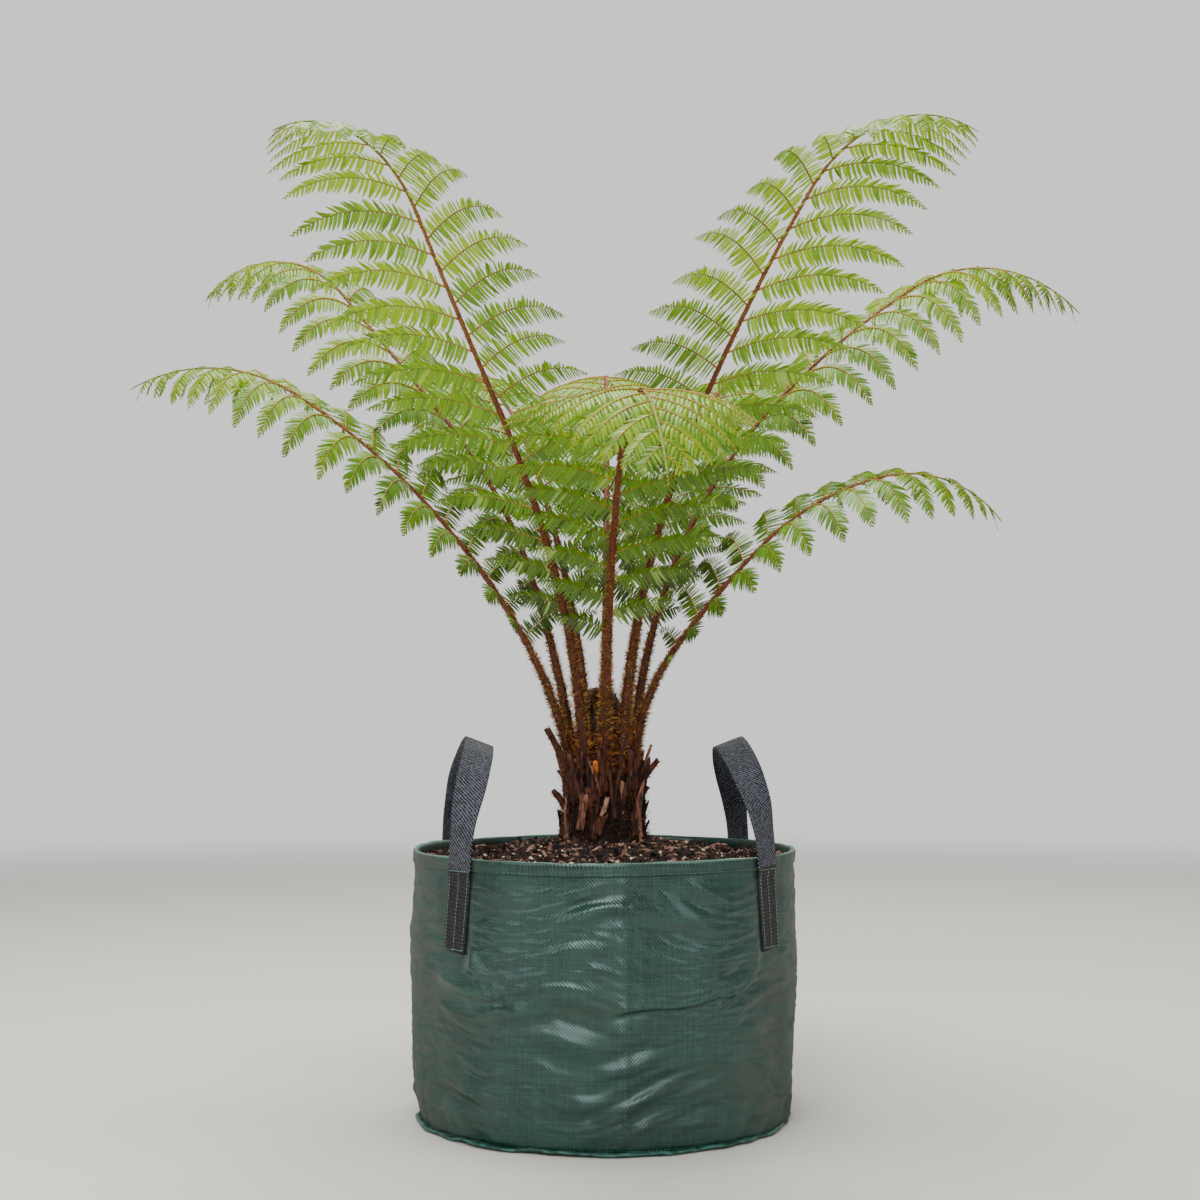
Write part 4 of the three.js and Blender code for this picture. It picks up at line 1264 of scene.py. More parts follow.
@dataclass
class Trunk:
    """Short trunk: a furrowed core wrapped in upright old leaf bases, broken stubs and loose fibres.

    Outlines are (radius, height), and they, lumps and the pairs that random sizes lie between are
    millimetres.
    """

    foot_z: float = 360.3 * MM
    outline: tuple = ((57, 0), (52.5, 12), (50, 34), (49, 60), (50, 86))
    bud: tuple = ((46, 90), (41, 99), (38, 112), (35, 142), (30, 162), (22, 180), (10, 196), (0.5, 200))
    shelf: float = 86 * MM
    girth: float = 50 * MM
    rows: int = 70
    columns: int = 220
    furrows: Lumps = Lumps(1.6, 0.016, 101, (1, 1, 0.16))
    splits: Lumps = Lumps(1.1, 0.009, 102, (1, 1, 0.22))
    grain: Lumps = Lumps(0.5, 0.006, 103)
    bases: int = 62
    tall_bases: int = 38
    base_turn: float = 0.382
    base_foot: tuple = (-6, 50)
    tall_foot: tuple = (42, 66)
    base_length: tuple = (20, 70)
    tall_length: tuple = (30, 66)
    base_half_width: tuple = (3.0, 7.6)
    base_half_depth: tuple = (2.2, 3.6)
    base_ragged: tuple = (-4, 9)
    base_kinds: tuple = (0.42, 0.36, 0.17, 0.05)
    cut_angle: float = 259.0
    cut_out: tuple = (49, 58)
    cut_up: tuple = (88, 106)
    cut_half: tuple = (3.8, 4.0, 3.8, 2.6)
    stub_hairs: int = 160
    fibres: int = 3600
    fibre_z: tuple = (2, 86)
    bud_fibre_z: tuple = (84, 200)
    fibre_length: float = 7 * MM
    fibre_kinds: tuple = (0.66, 0.1, 0.24)
    # mostly dark round the bud: painted shade in the gaps between the stalks' feet
    bud_fibre_kinds_dark_for_shade: tuple = (0.7, 0.2, 0.08, 0.02)
    seed: int = 23
    stub_seed: int = 61

    def radius(self, height: Values) -> Values:
        """Radius at a height above the soil, straight between the outline's points."""
        radii, heights = np.array(self.outline).T * MM
        return np.interp(height, heights, radii)

    def build(self, bark: Finish, bases: dict[Base, Finish], hairs: dict[Hair, Finish]) -> None:
        """All the trunk's pieces.

        Args:
            bark: finish of the core.
            bases: finishes of the old leaf bases.
            hairs: finishes of the scales and fibres.
        """
        self.build_core(bark)
        self.build_bases(list(bases.values()))
        dice = np.random.default_rng(self.stub_seed)
        for name, stub in STUBS.items():
            finishes = [bases[stub.bark], bases[Base.DARK], hairs[Hair.ORANGE], hairs[Hair.AMBER]]
            self.build_stub(name, stub, finishes, dice)
        self.build_fibres([hairs[Hair.DARK], hairs[Hair.ORANGE], bases[Base.BROWN], hairs[Hair.MOSS]])

    def core(self, angle: Array, height: Array, radius: Array) -> Array:
        """Places on the core: upright furrows from ripples that are six times as high as wide.

        Args:
            angle: compass angles.
            height: heights above the soil.
            radius: radii of the plain shape.

        Returns:
            The places.
        """
        spot = compass(angle, self.girth, height)
        furrow = self.furrows.over(spot) - np.abs(self.splits.over(spot)) + self.grain.over(spot)
        return compass(angle, radius + furrow * MM * smooth(radius, 0, 0.04), self.foot_z + height)

    def build_core(self, bark: Finish) -> None:
        """The core: rings from a flat cut up over the bud.

        Args:
            bark: its finish.
        """
        low = np.linspace(0, self.shelf, self.rows)
        side = np.stack([self.radius(low), low], 1)
        outline = np.concatenate([[(0.5 * MM, 0)], side, np.array(self.bud) * MM])
        angle, radius = np.meshgrid(360 * np.arange(self.columns) / self.columns, outline[:, 0])
        points = self.core(angle, np.broadcast_to(outline[:, 1:], angle.shape), radius)
        points[..., 2] = np.maximum(points[..., 2], self.foot_z - 6 * MM)
        skin = Skin()
        skin.add_rings(points)
        skin.make("trunk_core", [bark], "trunk", ["trunk"])

    def build_bases(self, finishes: list[Finish]) -> None:
        """Old leaf bases: flattened tubes that hug the core, each broken off raggedly at its top.

        They follow each other round by a golden share of a turn, lean out as the square of the
        height, and are the rougher the higher. The tall ones stand round the top of the trunk, in
        front of the feet of the stalks, and none of them is dark.

        Args:
            finishes: the finishes of Base.
        """
        dice = np.random.default_rng(self.seed)
        count, steps, sides = self.bases + self.tall_bases, 12, 8
        tall = np.arange(count) >= self.bases
        angle = 360 * (np.arange(count) + dice.uniform(-0.4, 0.4, count)) * self.base_turn % 360
        foot = np.where(tall, dice.uniform(*self.tall_foot, count), dice.uniform(*self.base_foot, count)) * MM
        length = np.where(tall, dice.uniform(*self.tall_length, count),
                          dice.uniform(*self.base_length, count)) * MM
        share = np.linspace(0, 1, steps)
        height = foot[:, None] + length[:, None] * share
        lean = dice.uniform(0, 9, count)[:, None] * MM * share ** 2 + tall[:, None] * 3 * MM * share
        lean = lean + dice.uniform(-2, 1.6, count)[:, None] * MM
        drift = dice.uniform(-11, 11, count)[:, None] * share
        radius = self.radius(height) + 1.2 * MM + lean
        centres = compass(angle[:, None] + drift, radius, self.foot_z + height)
        way = unit(np.gradient(centres, axis=1))
        out = square_to(compass(np.broadcast_to(angle[:, None], height.shape)), way)
        wide = dice.uniform(*self.base_half_width, count)[:, None] * MM * (1 - 0.4 * share)
        thick = dice.uniform(*self.base_half_depth, count)[:, None] * MM * (1 - 0.3 * share)
        wide = wide[..., None] * (1 + 0.24 * dice.normal(size=(count, steps, sides)) * share[:, None])
        thick = thick[..., None] * (1 + 0.12 * dice.normal(size=(count, steps, sides)))
        kind = dice.choice(len(self.base_kinds), count, p=self.base_kinds)
        skin = Skin()
        skin.add_tubes(centres, np.cross(out, way), out, wide, thick, sides,
                       np.where(tall & (kind == 0), 1, kind))
        points = skin.points[0].reshape(count, steps, sides, 3)
        ragged = dice.uniform(*self.base_ragged, (count, sides)) * MM
        points[:, -1] += way[:, -1][:, None] * ragged[..., None]
        skin.points[0] = points.reshape(-1, 3)
        self.add_fresh_cut(skin, list(Base).index(Base.CUT))
        skin.make("trunk_leaf_bases", finishes, "leaf_base")

    def add_fresh_cut(self, skin: Skin, finish: int) -> None:
        """Adds one short stump with a bright cut face, a tube that leans out from among the bases.

        Args:
            skin: the piece to add to.
            finish: number of its finish.
        """
        share = np.array([0, 0.5, 0.85, 1.0])
        centres = compass(self.cut_angle, lerp(*self.cut_out, share) * MM,
                          self.foot_z + lerp(*self.cut_up, share) * MM)
        way = unit(np.gradient(centres, axis=0))
        across = np.broadcast_to(compass(self.cut_angle + 90), way.shape)
        size = np.array(self.cut_half)[None] * MM
        skin.add_tubes(centres[None], across[None], np.cross(way, across)[None], size, size * 0.8, 12, finish)

    def build_stub(self, name: str, stub: Stub, finishes: list[Finish], dice: np.random.Generator) -> None:
        """One broken leaf base: a tapered tube, bowed by a sine, with a ragged hollow end and hairs.

        Args:
            name: the solid that it replaces.
            stub: its sizes.
            finishes: of its bark, of its broken end, and of two kinds of hairs.
            dice: source of chances.
        """
        rise = math.radians(stub.rise)
        way, across = compass(stub.angle, math.cos(rise), math.sin(rise)), compass(stub.angle + 90)
        up = np.cross(way, across)
        foot = compass(stub.angle, self.radius(stub.height * MM) - 4 * MM, self.foot_z + stub.height * MM)
        steps, sides = 16, 12
        share = np.concatenate([np.linspace(-0.12, 1, steps - 2), [0.96, 0.8]])
        bow = 2.2 * MM * np.sin(share.clip(0, 1) * math.pi)
        centres = foot + way * (share * stub.length * MM)[:, None] + up * bow[:, None]
        size = lerp(stub.foot, stub.tip, share.clip(0, 1)) * MM / 2
        size[-2:] *= (0.66, 0.12)
        wide = size[None, :, None] * (1 + 0.09 * dice.normal(size=(1, steps, sides)))
        skin = Skin()
        skin.add_tubes(centres[None], np.broadcast_to(across, (1, steps, 3)),
                       np.broadcast_to(up, (1, steps, 3)), wide, wide * 0.8, sides)
        points = skin.points[0].reshape(steps, sides, 3)
        ragged = dice.uniform(-0.05, 0.05, sides) * stub.length * MM
        points[-4:-1] += way * (ragged * np.array([0.5, 1, 1])[:, None])[..., None]
        ends = skin.finishes[0].copy()
        ends[-2 * sides:] = 1
        skin.finishes[0] = ends
        count = self.stub_hairs
        spots = centres[2:-3][dice.integers(0, steps - 5, count)]
        around = dice.uniform(0, TURN, count)[:, None]
        out = across * np.cos(around) + up * np.sin(around)
        strew_scales(skin, spots + out * (stub.tip * MM / 2 * 0.8), out, np.broadcast_to(way, out.shape),
                     dice.uniform(2, 7, count) * MM, 0.35 * MM, dice, (0, 0, 0.6, 0.4), 0.8)
        skin.make(f"{name}_bark", finishes, "leaf_base", [name])

    def build_fibres(self, finishes: list[Finish]) -> None:
        """Loose fibres and scales over the trunk, thicker round the bud where the stalks stand.
        Round the bud most of them are dark, as painted shade in the gaps between the stalks.

        Args:
            finishes: of dark and orange scales, brown bark and moss.
        """
        dice = np.random.default_rng(self.seed + 1)
        height = np.concatenate([dice.uniform(*self.fibre_z, self.fibres),
                                 dice.uniform(*self.bud_fibre_z, self.fibres * 3 // 4)]) * MM
        count = len(height)
        angle = dice.uniform(0, 360, count)
        bud_radii, bud_heights = np.array(self.bud).T * MM
        low = height < self.shelf
        radius = np.where(low, self.radius(height) + 2.5 * MM, np.interp(height, bud_heights, bud_radii))
        spots = compass(angle, radius, self.foot_z + height)
        out = compass(angle)
        on = dice.choice((1.6, -0.8), (count, 1), p=(0.7, 0.3)) * (0, 0, 1)
        lengths = dice.lognormal(math.log(self.fibre_length), 0.45, count).clip(3 * MM, 18 * MM)
        skin = Skin()
        # the bud's fibres are mostly dark, as painted shade between the stalks
        for part, kinds in ((low, self.fibre_kinds), (~low, self.bud_fibre_kinds_dark_for_shade)):
            strew_scales(skin, spots[part], out[part] * 0.6, on[part], lengths[part], 0.4 * MM, dice, kinds)
        skin.make("trunk_fibres", finishes, "trunk")


@dataclass
class Shoot:
    """A curled new frond: a stem whose tip is rolled up, thick with dark scales.

    at, rise, ring and stem are millimetres: its place, the height of the curl's middle, the curl's
    radius and the stem's half width. turn is its compass angle.
    """

    name: str
    at: tuple[float, float]
    rise: float
    ring: float
    stem: float
    turn: float
    foot_z: float = 502.6 * MM
    straight: float = 0.35
    last_ring: float = 0.28
    last_stem: float = 0.5
    hairs: int = 520
    hair_kinds: tuple = (0.25, 0.25, 0.5)
    seed: int = 5

    def build(self, finish: Finish, scales: list[Finish]) -> None:
        """The stem goes up and rolls in on a shrinking spiral of one and a half turns.

        Args:
            finish: finish of the stem.
            scales: finishes of Hair.
        """
        steps, sides = 60, 12
        share = np.linspace(0, 1, steps)
        on_stem = share < self.straight
        rolled = (share - self.straight).clip(0) / (1 - self.straight)
        spin = math.pi + rolled * 3 * math.pi
        radius = self.ring * lerp(1, self.last_ring, rolled) * MM
        middle_x, middle_z = self.ring * 0.5 * MM, self.rise * MM
        stem_x = lerp(0, middle_x - self.ring * MM, smooth(share, 0, self.straight))
        stem_z = lerp(-4 * MM, middle_z, share / self.straight)
        x = np.where(on_stem, stem_x, middle_x + radius * np.cos(spin))
        z = np.where(on_stem, stem_z, middle_z - radius * np.sin(spin))
        base = np.array([self.at[0] * MM, self.at[1] * MM, self.foot_z])
        centres = base + x[:, None] * compass(self.turn) + z[:, None] * (0, 0, 1)
        way = unit(np.gradient(centres, axis=0))
        across = np.broadcast_to(compass(self.turn + 90), way.shape)
        up = np.cross(way, across)
        size = self.stem * lerp(1, self.last_stem, rolled) * MM
        skin = Skin()
        skin.add_tubes(centres[None], across[None], up[None], size[None], size[None], sides)
        skin.make(f"{self.name}_curl", [finish], "stalk", [self.name])
        dice = np.random.default_rng(self.seed)
        pick = dice.integers(0, steps, self.hairs)
        around = dice.uniform(0, TURN, self.hairs)[:, None]
        out = across[pick] * np.cos(around) + up[pick] * np.sin(around)
        spots = centres[pick] + out * size[pick][:, None] * 0.9
        fur = Skin()
        strew_scales(fur, spots, out, way[pick], dice.uniform(3, 8, self.hairs) * MM, 0.5 * MM, dice,
                     self.hair_kinds)
        fur.make(f"{self.name}_scales", scales, "stalk")


# Fronds


@dataclass(frozen=True)
class Frond:
    """One frond by the source's rule: where it stands, where it heads and how it arches.

    seat and heading are compass angles, and sway is how far the heading turns by the tip. rises are
    the rachis slopes at each quarter of the length. lift is how far the side branches stand above
    the blade, and roll how far the blade turns with its left side up, both at its foot and its tip,
    in degrees. droop is how much the branches bend to the ground. Sizes are millimetres.
    """

    name: str
    seat: float
    heading: float
    sway: float
    length: float
    rises: tuple[float, ...]
    pinna: float
    lift: tuple[float, float]
    roll: tuple[float, float]
    droop: tuple[float, float]


FRONDS = [
    Frond("frond_left_low", 190, 188, 0, 860, (79, 59, 46, 31, -33), 140,
          (30, 5), (-34, -18), (0.8, 3)),
    Frond("frond_left_mid", 156, 158, -4, 1050, (82, 71, 49, 48, -45), 160,
          (25, 8), (-20, -12), (0.8, 2.6)),
    Frond("frond_left_high", 234, 242, -11, 1040, (85, 62, 49, 54, -33), 178,
          (10, -6), (0, 0), (0.5, 1.3)),
    Frond("frond_front", 270, 274, 4, 915, (80, 56, 39, -8, -55), 162,
          (12, 0), (0, 0), (0.5, 1.2)),
    Frond("frond_right_high", 305, 303, 11, 1080, (87, 67, 52, 46, -38), 178,
          (10, -6), (0, 0), (0.5, 1.3)),
    Frond("frond_right_mid", 17, 14, -2, 1095, (89, 69, 47, 33, -46), 160,
          (25, 5), (20, 15), (0.9, 3.2)),
    Frond("frond_right_low", 341, 352, 0, 715, (89, 54, 45, 14, -57), 120,
          (30, 8), (34, 15), (0.8, 3)),
    Frond("frond_rear_right", 51, 60, 4, 985, (87, 68, 51, 18, -46), 165,
          (12, -5), (8, 0), (0.6, 1.5)),
    Frond("frond_rear", 86, 89, 3, 1010, (87, 70, 50, 15, -45), 170,
          (12, -5), (0, 0), (0.6, 1.5)),
    Frond("frond_rear_left", 121, 119, -4, 985, (87, 68, 52, 18, -46), 165,
          (12, -5), (-8, 0), (0.6, 1.5)),
]


@dataclass
class Rachis:
    """The midrib of a frond: its place, its way on, its left and its upper side along its length."""

    frond: Frond
    seat_radius: float = 41 * MM
    seat_z: float = 446.6 * MM
    stalk_width: float = 17 * MM
    stalk_depth: float = 13 * MM
    tip_width: float = 2.2 * MM
    taper: float = 0.75
    waist: float = 0.66
    blade_start: float = 0.21
    steps: int = 160

    def __post_init__(self) -> None:
        """Sums the steps of the path from the seat, each along the slope at its middle."""
        self.length = self.frond.length * MM
        middles = (np.arange(self.steps) + 0.5) / self.steps
        steps = self.axes(middles)[0] * self.length / self.steps
        seat = compass(self.frond.seat, self.seat_radius, self.seat_z)
        self.path = seat + np.concatenate([np.zeros((1, 3)), np.cumsum(steps, axis=0)])

    def axes(self, along: Array) -> tuple[Array, Array, Array]:
        """The rachis's own axes. The slope is straight between its quarters, and it sways as a square.

        Args:
            along: shares of the length.

        Returns:
            The way on, the left and the upper side.
        """
        rise = np.radians(np.interp(along, np.linspace(0, 1, len(self.frond.rises)), self.frond.rises))
        heading = self.frond.heading + self.frond.sway * along * along
        way = compass(heading, np.cos(rise), np.sin(rise))
        left = compass(heading + 90)
        return way, left, np.cross(way, left)

    def at(self, along: Array) -> Array:
        """Places at shares of the length."""
        nodes = np.linspace(0, 1, self.steps + 1)
        return np.stack([np.interp(along, nodes, part) for part in self.path.T], -1)

    def blade(self, along: Values) -> Values:
        """Share of the blade's length at a share of the rachis, 0 on the bare stalk."""
        return np.maximum(0, (along - self.blade_start) / (1 - self.blade_start))

    def girth(self, along: Array) -> Array:
        """Share of the stalk's foot size that is left: straight up the stalk, then by a power.

        Args:
            along: shares of the length.

        Returns:
            The shares.
        """
        on_stalk = lerp(1, self.waist, along / self.blade_start)
        on_blade = lerp(self.waist, self.tip_width / self.stalk_width, self.blade(along) ** self.taper)
        return np.where(along < self.blade_start, on_stalk, on_blade)


@dataclass
class Pinnae:
    """The side branches of one frond, as arrays over the branches and along each of them.

    at, on, normal and wide are (branches, steps, 3): the places, the way on, the upper side and the
    way towards the frond's tip.
    """

    at: Array
    on: Array
    normal: Array
    wide: Array
    length: Array
    pitch: Array
    place: Array


@dataclass
class Leaflets:
    """Leaflets as arrays: feet, ways on, upper sides and ways across, (n, 3), and sizes, (n,).

    bow is how far a tip bends forward, curl how far it bends down, and greens the finishes.
    """

    at: Array
    way: Array
    normal: Array
    across: Array
    length: Array
    half: Array
    bow: Array
    curl: Array
    greens: Array


@dataclass
class FrondGrower:
    """Grows a frond's side branches and fine leaflets, and builds its pieces.

    number sets the frond's own chances. A pair of values holds at the foot and at the tip, if not
    said otherwise, and angles are degrees.
    """

    rachis: Rachis
    others: list[Rachis]
    number: int
    spacing: tuple = (46, 24)
    spacing_power: float = 3.5
    angle: tuple = (68, 46)
    angle_power: float = 1.5
    sway: float = 3
    widest_at: float = 0.42
    foot_pinna: float = 0.42
    least_pinna: float = 0.18
    foot_roll: float = 90
    tip_taper: float = 2.8
    length_vary: float = 0.04
    droop_power: float = 1.3
    tip_leaflet: float = 26 * MM
    end_room: float = 34 * MM
    end_length: float = 40 * MM
    rooted: float = 0.4
    keep_clear: float = 9 * MM
    steps: int = 18
    small_foot: float = 0.58
    small_to: tuple = (0.04, 0.55)
    leaflet_pitch: float = 5.7 * MM
    leaflet_reach: float = 0.75
    leaflet_max: float = 31 * MM
    leaflet_min: float = 2.2 * MM
    leaflet_angle: tuple = (80, 50)
    leaflet_bow: float = 0.13
    leaflet_curl: tuple = (0.6, 0.12)
    half_width: float = 2.55 * MM
    usual_length: float = 24 * MM
    fold: float = 0.62
    stations: ClassVar[Array] = np.array([0, 0.16, 0.34, 0.52, 0.7, 0.86])
    widths: ClassVar[Array] = np.array([0.8, 1.0, 0.88, 0.9, 0.62, 0.42])
    crown_middle: Triple = (0, 0, 0.62)
    inner_light: float = 0.36
    green_steps: tuple = (0.3, 0.52, 0.74, 0.98)
    glint_size: float = 28 * MM
    glint: float = 1.75
    rib: tuple = (1.25 * MM, 0.3 * MM)
    foot_scales: int = 3600
    blade_scales: int = 1100
    moss_scales: int = 500
    scale_length: tuple = (7.5 * MM, 2.3 * MM)
    # amber share partly a painted highlight, dark share partly painted shade
    scale_kinds: tuple = (0.2, 0.36, 0.44)
    moss_kinds: tuple = (0, 0, 0, 1)
    seed: int = 41

    def __post_init__(self) -> None:
        """Starts the frond's own chances and gathers the stalks that its branches keep clear of."""
        self.stalks = np.concatenate([other.path[::2] for other in self.others if other is not self.rachis])
        self.dice = np.random.default_rng(self.seed + self.number)

    def joints(self) -> Array:
        """Where the branches stand, alternately right and left, closer together to the tip.

        Returns:
            Shares of the rachis.
        """
        places, along = [], self.rachis.blade_start
        while along < 1 - self.tip_leaflet / self.rachis.length:
            places.append(along)
            share = self.rachis.blade(along) ** self.spacing_power
            along += lerp(*self.spacing, share) * MM / 2 / self.rachis.length
        return np.array(places)

    def branch_length(self, along: Array, side: Array) -> Array:
        """Longest before the middle of the blade, drawn out at its tip and shorter to its foot.

        It rises by a quarter sine and falls by a power, and the foot is shortest on the side that
        is rolled down.

        Args:
            along: shares of the rachis.
            side: -1 on the right and 1 on the left.

        Returns:
            The lengths.
        """
        place = self.rachis.blade(along)
        foot = self.foot_pinna + side * self.rachis.frond.roll[0] / self.foot_roll
        rise = np.sin(math.pi / 2 * place / self.widest_at)
        fall = 1 - np.maximum(0, (place - self.widest_at) / (1 - self.widest_at)) ** self.tip_taper
        share = np.where(place < self.widest_at, lerp(np.maximum(self.least_pinna, foot), 1, rise), fall)
        return self.rachis.frond.pinna * MM * share

    def trace(self, along: Array, side: Array, length: Array, angle: Array, lift: Array) -> Pinnae:
        """Works out the branches' places and axes.

        A branch leaves at its angle to the rachis and lift above the blade, and its way on turns
        to the ground by droop times the share of its length to the power of 1.3.

        Args:
            along: shares of the rachis.
            side: -1 on the right and 1 on the left.
            length: lengths.
            angle: angles to the rachis, in radians.
            lift: angles above the blade, in radians.

        Returns:
            The branches.
        """
        rachis, place = self.rachis, self.rachis.blade(along)
        way, left, up = rachis.axes(along)
        hand = side[:, None]
        out = left * hand * np.cos(lift)[:, None] + up * np.sin(lift)[:, None]
        above = up * np.cos(lift)[:, None] - left * hand * np.sin(lift)[:, None]
        start = way * np.cos(angle)[:, None] + out * np.sin(angle)[:, None]
        fall = np.array([0, 0, 1.0]) * lerp(*rachis.frond.droop, place)[:, None, None]
        middles = (np.arange(self.steps) + 0.5) / self.steps
        nodes = np.linspace(0, 1, self.steps + 1)
        steps = unit(start[:, None] - fall * (middles ** self.droop_power)[:, None])
        steps = steps * (length / self.steps)[:, None, None]
        aside = rachis.stalk_width * rachis.girth(along) * self.rooted
        root = rachis.at(along) + left * hand * aside[:, None]
        at = root[:, None] + np.concatenate([np.zeros((len(along), 1, 3)), np.cumsum(steps, axis=1)], axis=1)
        on = unit(start[:, None] - fall * (nodes ** self.droop_power)[:, None])
        normal = square_to(np.broadcast_to(above[:, None], on.shape), on)
        wide = np.cross(on, normal) * hand[:, None]
        pitch = lerp(*self.spacing, place ** self.spacing_power) * MM * np.sin(angle)
        return Pinnae(at, on, normal, wide, length, pitch, place)

    def grow(self) -> Pinnae:
        """Grows the branches, cut short where they would pass through another frond's stalk.

        Returns:
            The branches.
        """
        along = self.joints()
        along = (along + np.append(along[1:], along[-1] + (along[-1] - along[-2]))) / 2
        side = np.where(np.arange(len(along)) % 2 == 0, -1.0, 1.0)
        place, frond = self.rachis.blade(along), self.rachis.frond
        vary = self.dice.uniform(-1, 1, (3, len(along)))
        angle = np.radians(lerp(*self.angle, place ** self.angle_power) + self.sway * vary[0])
        lift = np.radians(lerp(*frond.lift, place) + side * lerp(*frond.roll, place) + self.sway * vary[1])
        length = self.branch_length(along, side) * (1 + self.length_vary * vary[2])
        # the frond ends in one branch that runs straight on
        along, side = np.append(along, 1 - self.end_room / self.rachis.length), np.append(side, 1.0)
        angle, lift, length = np.append(angle, 0.0), np.append(lift, 0.0), np.append(length, self.end_length)
        grown = self.trace(along, side, length, angle, lift)
        apart = np.linalg.norm(grown.at[:, 2:, None] - self.stalks[None, None], axis=-1).min(-1)
        hit = apart < self.keep_clear
        share = np.where(hit.any(1), (hit.argmax(1) + 1) / self.steps, 1.0)
        cut = length * np.where(share < 1, (share * 0.92).clip(0.2), 1)
        return self.trace(along, side, cut, angle, lift)

    def add_leaflets(self, pinnae: Pinnae, skin: Skin) -> None:
        """Adds the leaflets of all the branches at once.

        Each is a strip folded along its midrib with toothed edges, and leans from square to the
        branch at its foot to half forward at its tip. It bows forward and its tip hangs. Leaflets
        are smaller near the foot of the blade and get shorter by a power towards a branch's tip.

        Args:
            pinnae: the branches.
            skin: the piece to add to.
        """
        dice = self.dice
        small = lerp(self.small_foot, 1, smooth(pinnae.place, *self.small_to))
        count = pinnae.length * 0.97 / (self.leaflet_pitch * small ** 0.6)
        count = np.maximum(3, np.round(count).astype(int))
        owner = np.repeat(np.arange(len(count)), count)
        order = np.arange(len(owner)) - np.repeat(np.cumsum(count) - count, count)
        share = (order + 0.5) / count[owner]
        owner, share = np.tile(owner, 2), np.concatenate([share, share + 0.4 / count[owner]])
        hand = np.repeat([-1.0, 1.0], len(share) // 2)
        along = 0.025 + 0.955 * share.clip(0, 1)
        step = np.minimum(along * self.steps, self.steps - 1e-6)
        low = step.astype(int)
        part = (step - low)[:, None]
        at, on, normal, wide = (lerp(array[owner, low], array[owner, low + 1], part)
                                for array in (pinnae.at, pinnae.on, pinnae.normal, pinnae.wide))
        on = unit(on)
        taper = 1 - 0.94 * np.maximum(0, (along - 0.25) / 0.75) ** 2.1
        outline = lerp(0.8, 1, smooth(along, 0, 0.2)) * taper
        reach = np.minimum(pinnae.pitch * self.leaflet_reach, self.leaflet_max)
        reach = np.minimum(reach * small ** 0.6, pinnae.length * 0.4)[owner]
        length = reach * outline * (1 + 0.06 * dice.normal(size=len(along)))
        open_angle = np.radians(lerp(*self.leaflet_angle, along) + 4 * dice.normal(size=len(along)))[:, None]
        way = on * np.cos(open_angle) + wide * hand[:, None] * np.sin(open_angle)
        length = np.maximum(length * (1 - 0.25 * way[:, 2].clip(0, 1)), self.leaflet_min)
        droop = 0.22 + 0.2 * dice.uniform(size=(len(along), 1))
        way = unit(way + normal * 0.10 - np.array([0, 0, 1.0]) * droop)
        normal = square_to(normal + 0.2 * dice.normal(size=normal.shape), way)
        across = np.cross(way, normal)
        bow = np.sign((across * on).sum(-1)) * length * self.leaflet_bow
        light = (0.09 * dice.normal(size=len(pinnae.length)))[owner] + 0.1 * dice.normal(size=len(along))
        # painted shade: leaflets that face away from the sky get darker greens
        light = light + 0.26 * (normal[:, 2] - 0.6)
        curl = length * (lerp(*self.leaflet_curl, small[owner]) + 0.12 * dice.uniform(size=len(along)))
        half = self.half_width * (length / self.usual_length) ** 0.45 * small[owner] ** 0.35
        greens = self.pick_greens(at, light)
        self.add_strips(skin, Leaflets(at, way, normal, across, length, half, bow, curl, greens))

    def add_strips(self, skin: Skin, leaves: Leaflets) -> None:
        """Adds leaflet strips: a left edge, a midrib and a right edge at each station, and a tip.

        The edges hang below the midrib by the fold, and the tip bows and curls as the square of the
        way along.

        Args:
            skin: the piece to add to.
            leaves: the leaflets.
        """
        length, half, bow, curl = (part[:, None] for part in (leaves.length, leaves.half, leaves.bow,
                                                              leaves.curl))
        rows = len(self.stations)
        along = np.append(np.repeat(self.stations, 3), 1.0)
        width = np.append(np.repeat(self.widths, 3), 0.0) * np.append(np.tile([-1.0, 0.0, 1.0], rows), 0.0)
        run = along[None] * length
        shift = width[None] * half + bow * along ** 2
        rise = -self.fold * np.abs(width)[None] * half - curl * along ** 2
        points = (leaves.at[:, None] + leaves.way[:, None] * run[..., None]
                  + leaves.across[:, None] * shift[..., None] + leaves.normal[:, None] * rise[..., None])
        quads, last = grid(rows, 3, False)[0], (rows - 1) * 3
        tips = np.array([(last, last + 1, last + 3), (last + 1, last + 2, last + 3)])
        count, base = len(leaves.at), skin.count
        skin.add(points, repeat_faces(quads, count, len(along)), np.repeat(leaves.greens, len(quads)))
        skin.add_faces(repeat_faces(tips, count, len(along)) + base, np.repeat(leaves.greens, len(tips)))

    def pick_greens(self, at: Array, light: Array) -> Array:
        """Deals a green to each leaflet by a painted light level: deeper greens inside the crown as painted
        shade, yellower ones towards its outside, and pale ones in patches as painted highlights.

        Args:
            at: the leaflets' places.
            light: how much lighter each is than its neighbours, at random and by painted shade.

        Returns:
            The numbers of the greens.
        """
        out = np.linalg.norm(at - self.crown_middle, axis=-1)
        # painted shade: darker greens towards the middle of the crown
        light = light + lerp(self.inner_light, 1, smooth(out, 0.05, 0.62))
        greens = np.digitize(light, self.green_steps)
        # painted highlight: pale leaflets where a patchy ripple runs high
        shine = ripple(at, self.glint_size, 83) + 0.4 * self.dice.normal(size=len(greens))
        return np.where((shine > self.glint) & (greens > 0), list(Green).index(Green.PALE), greens)

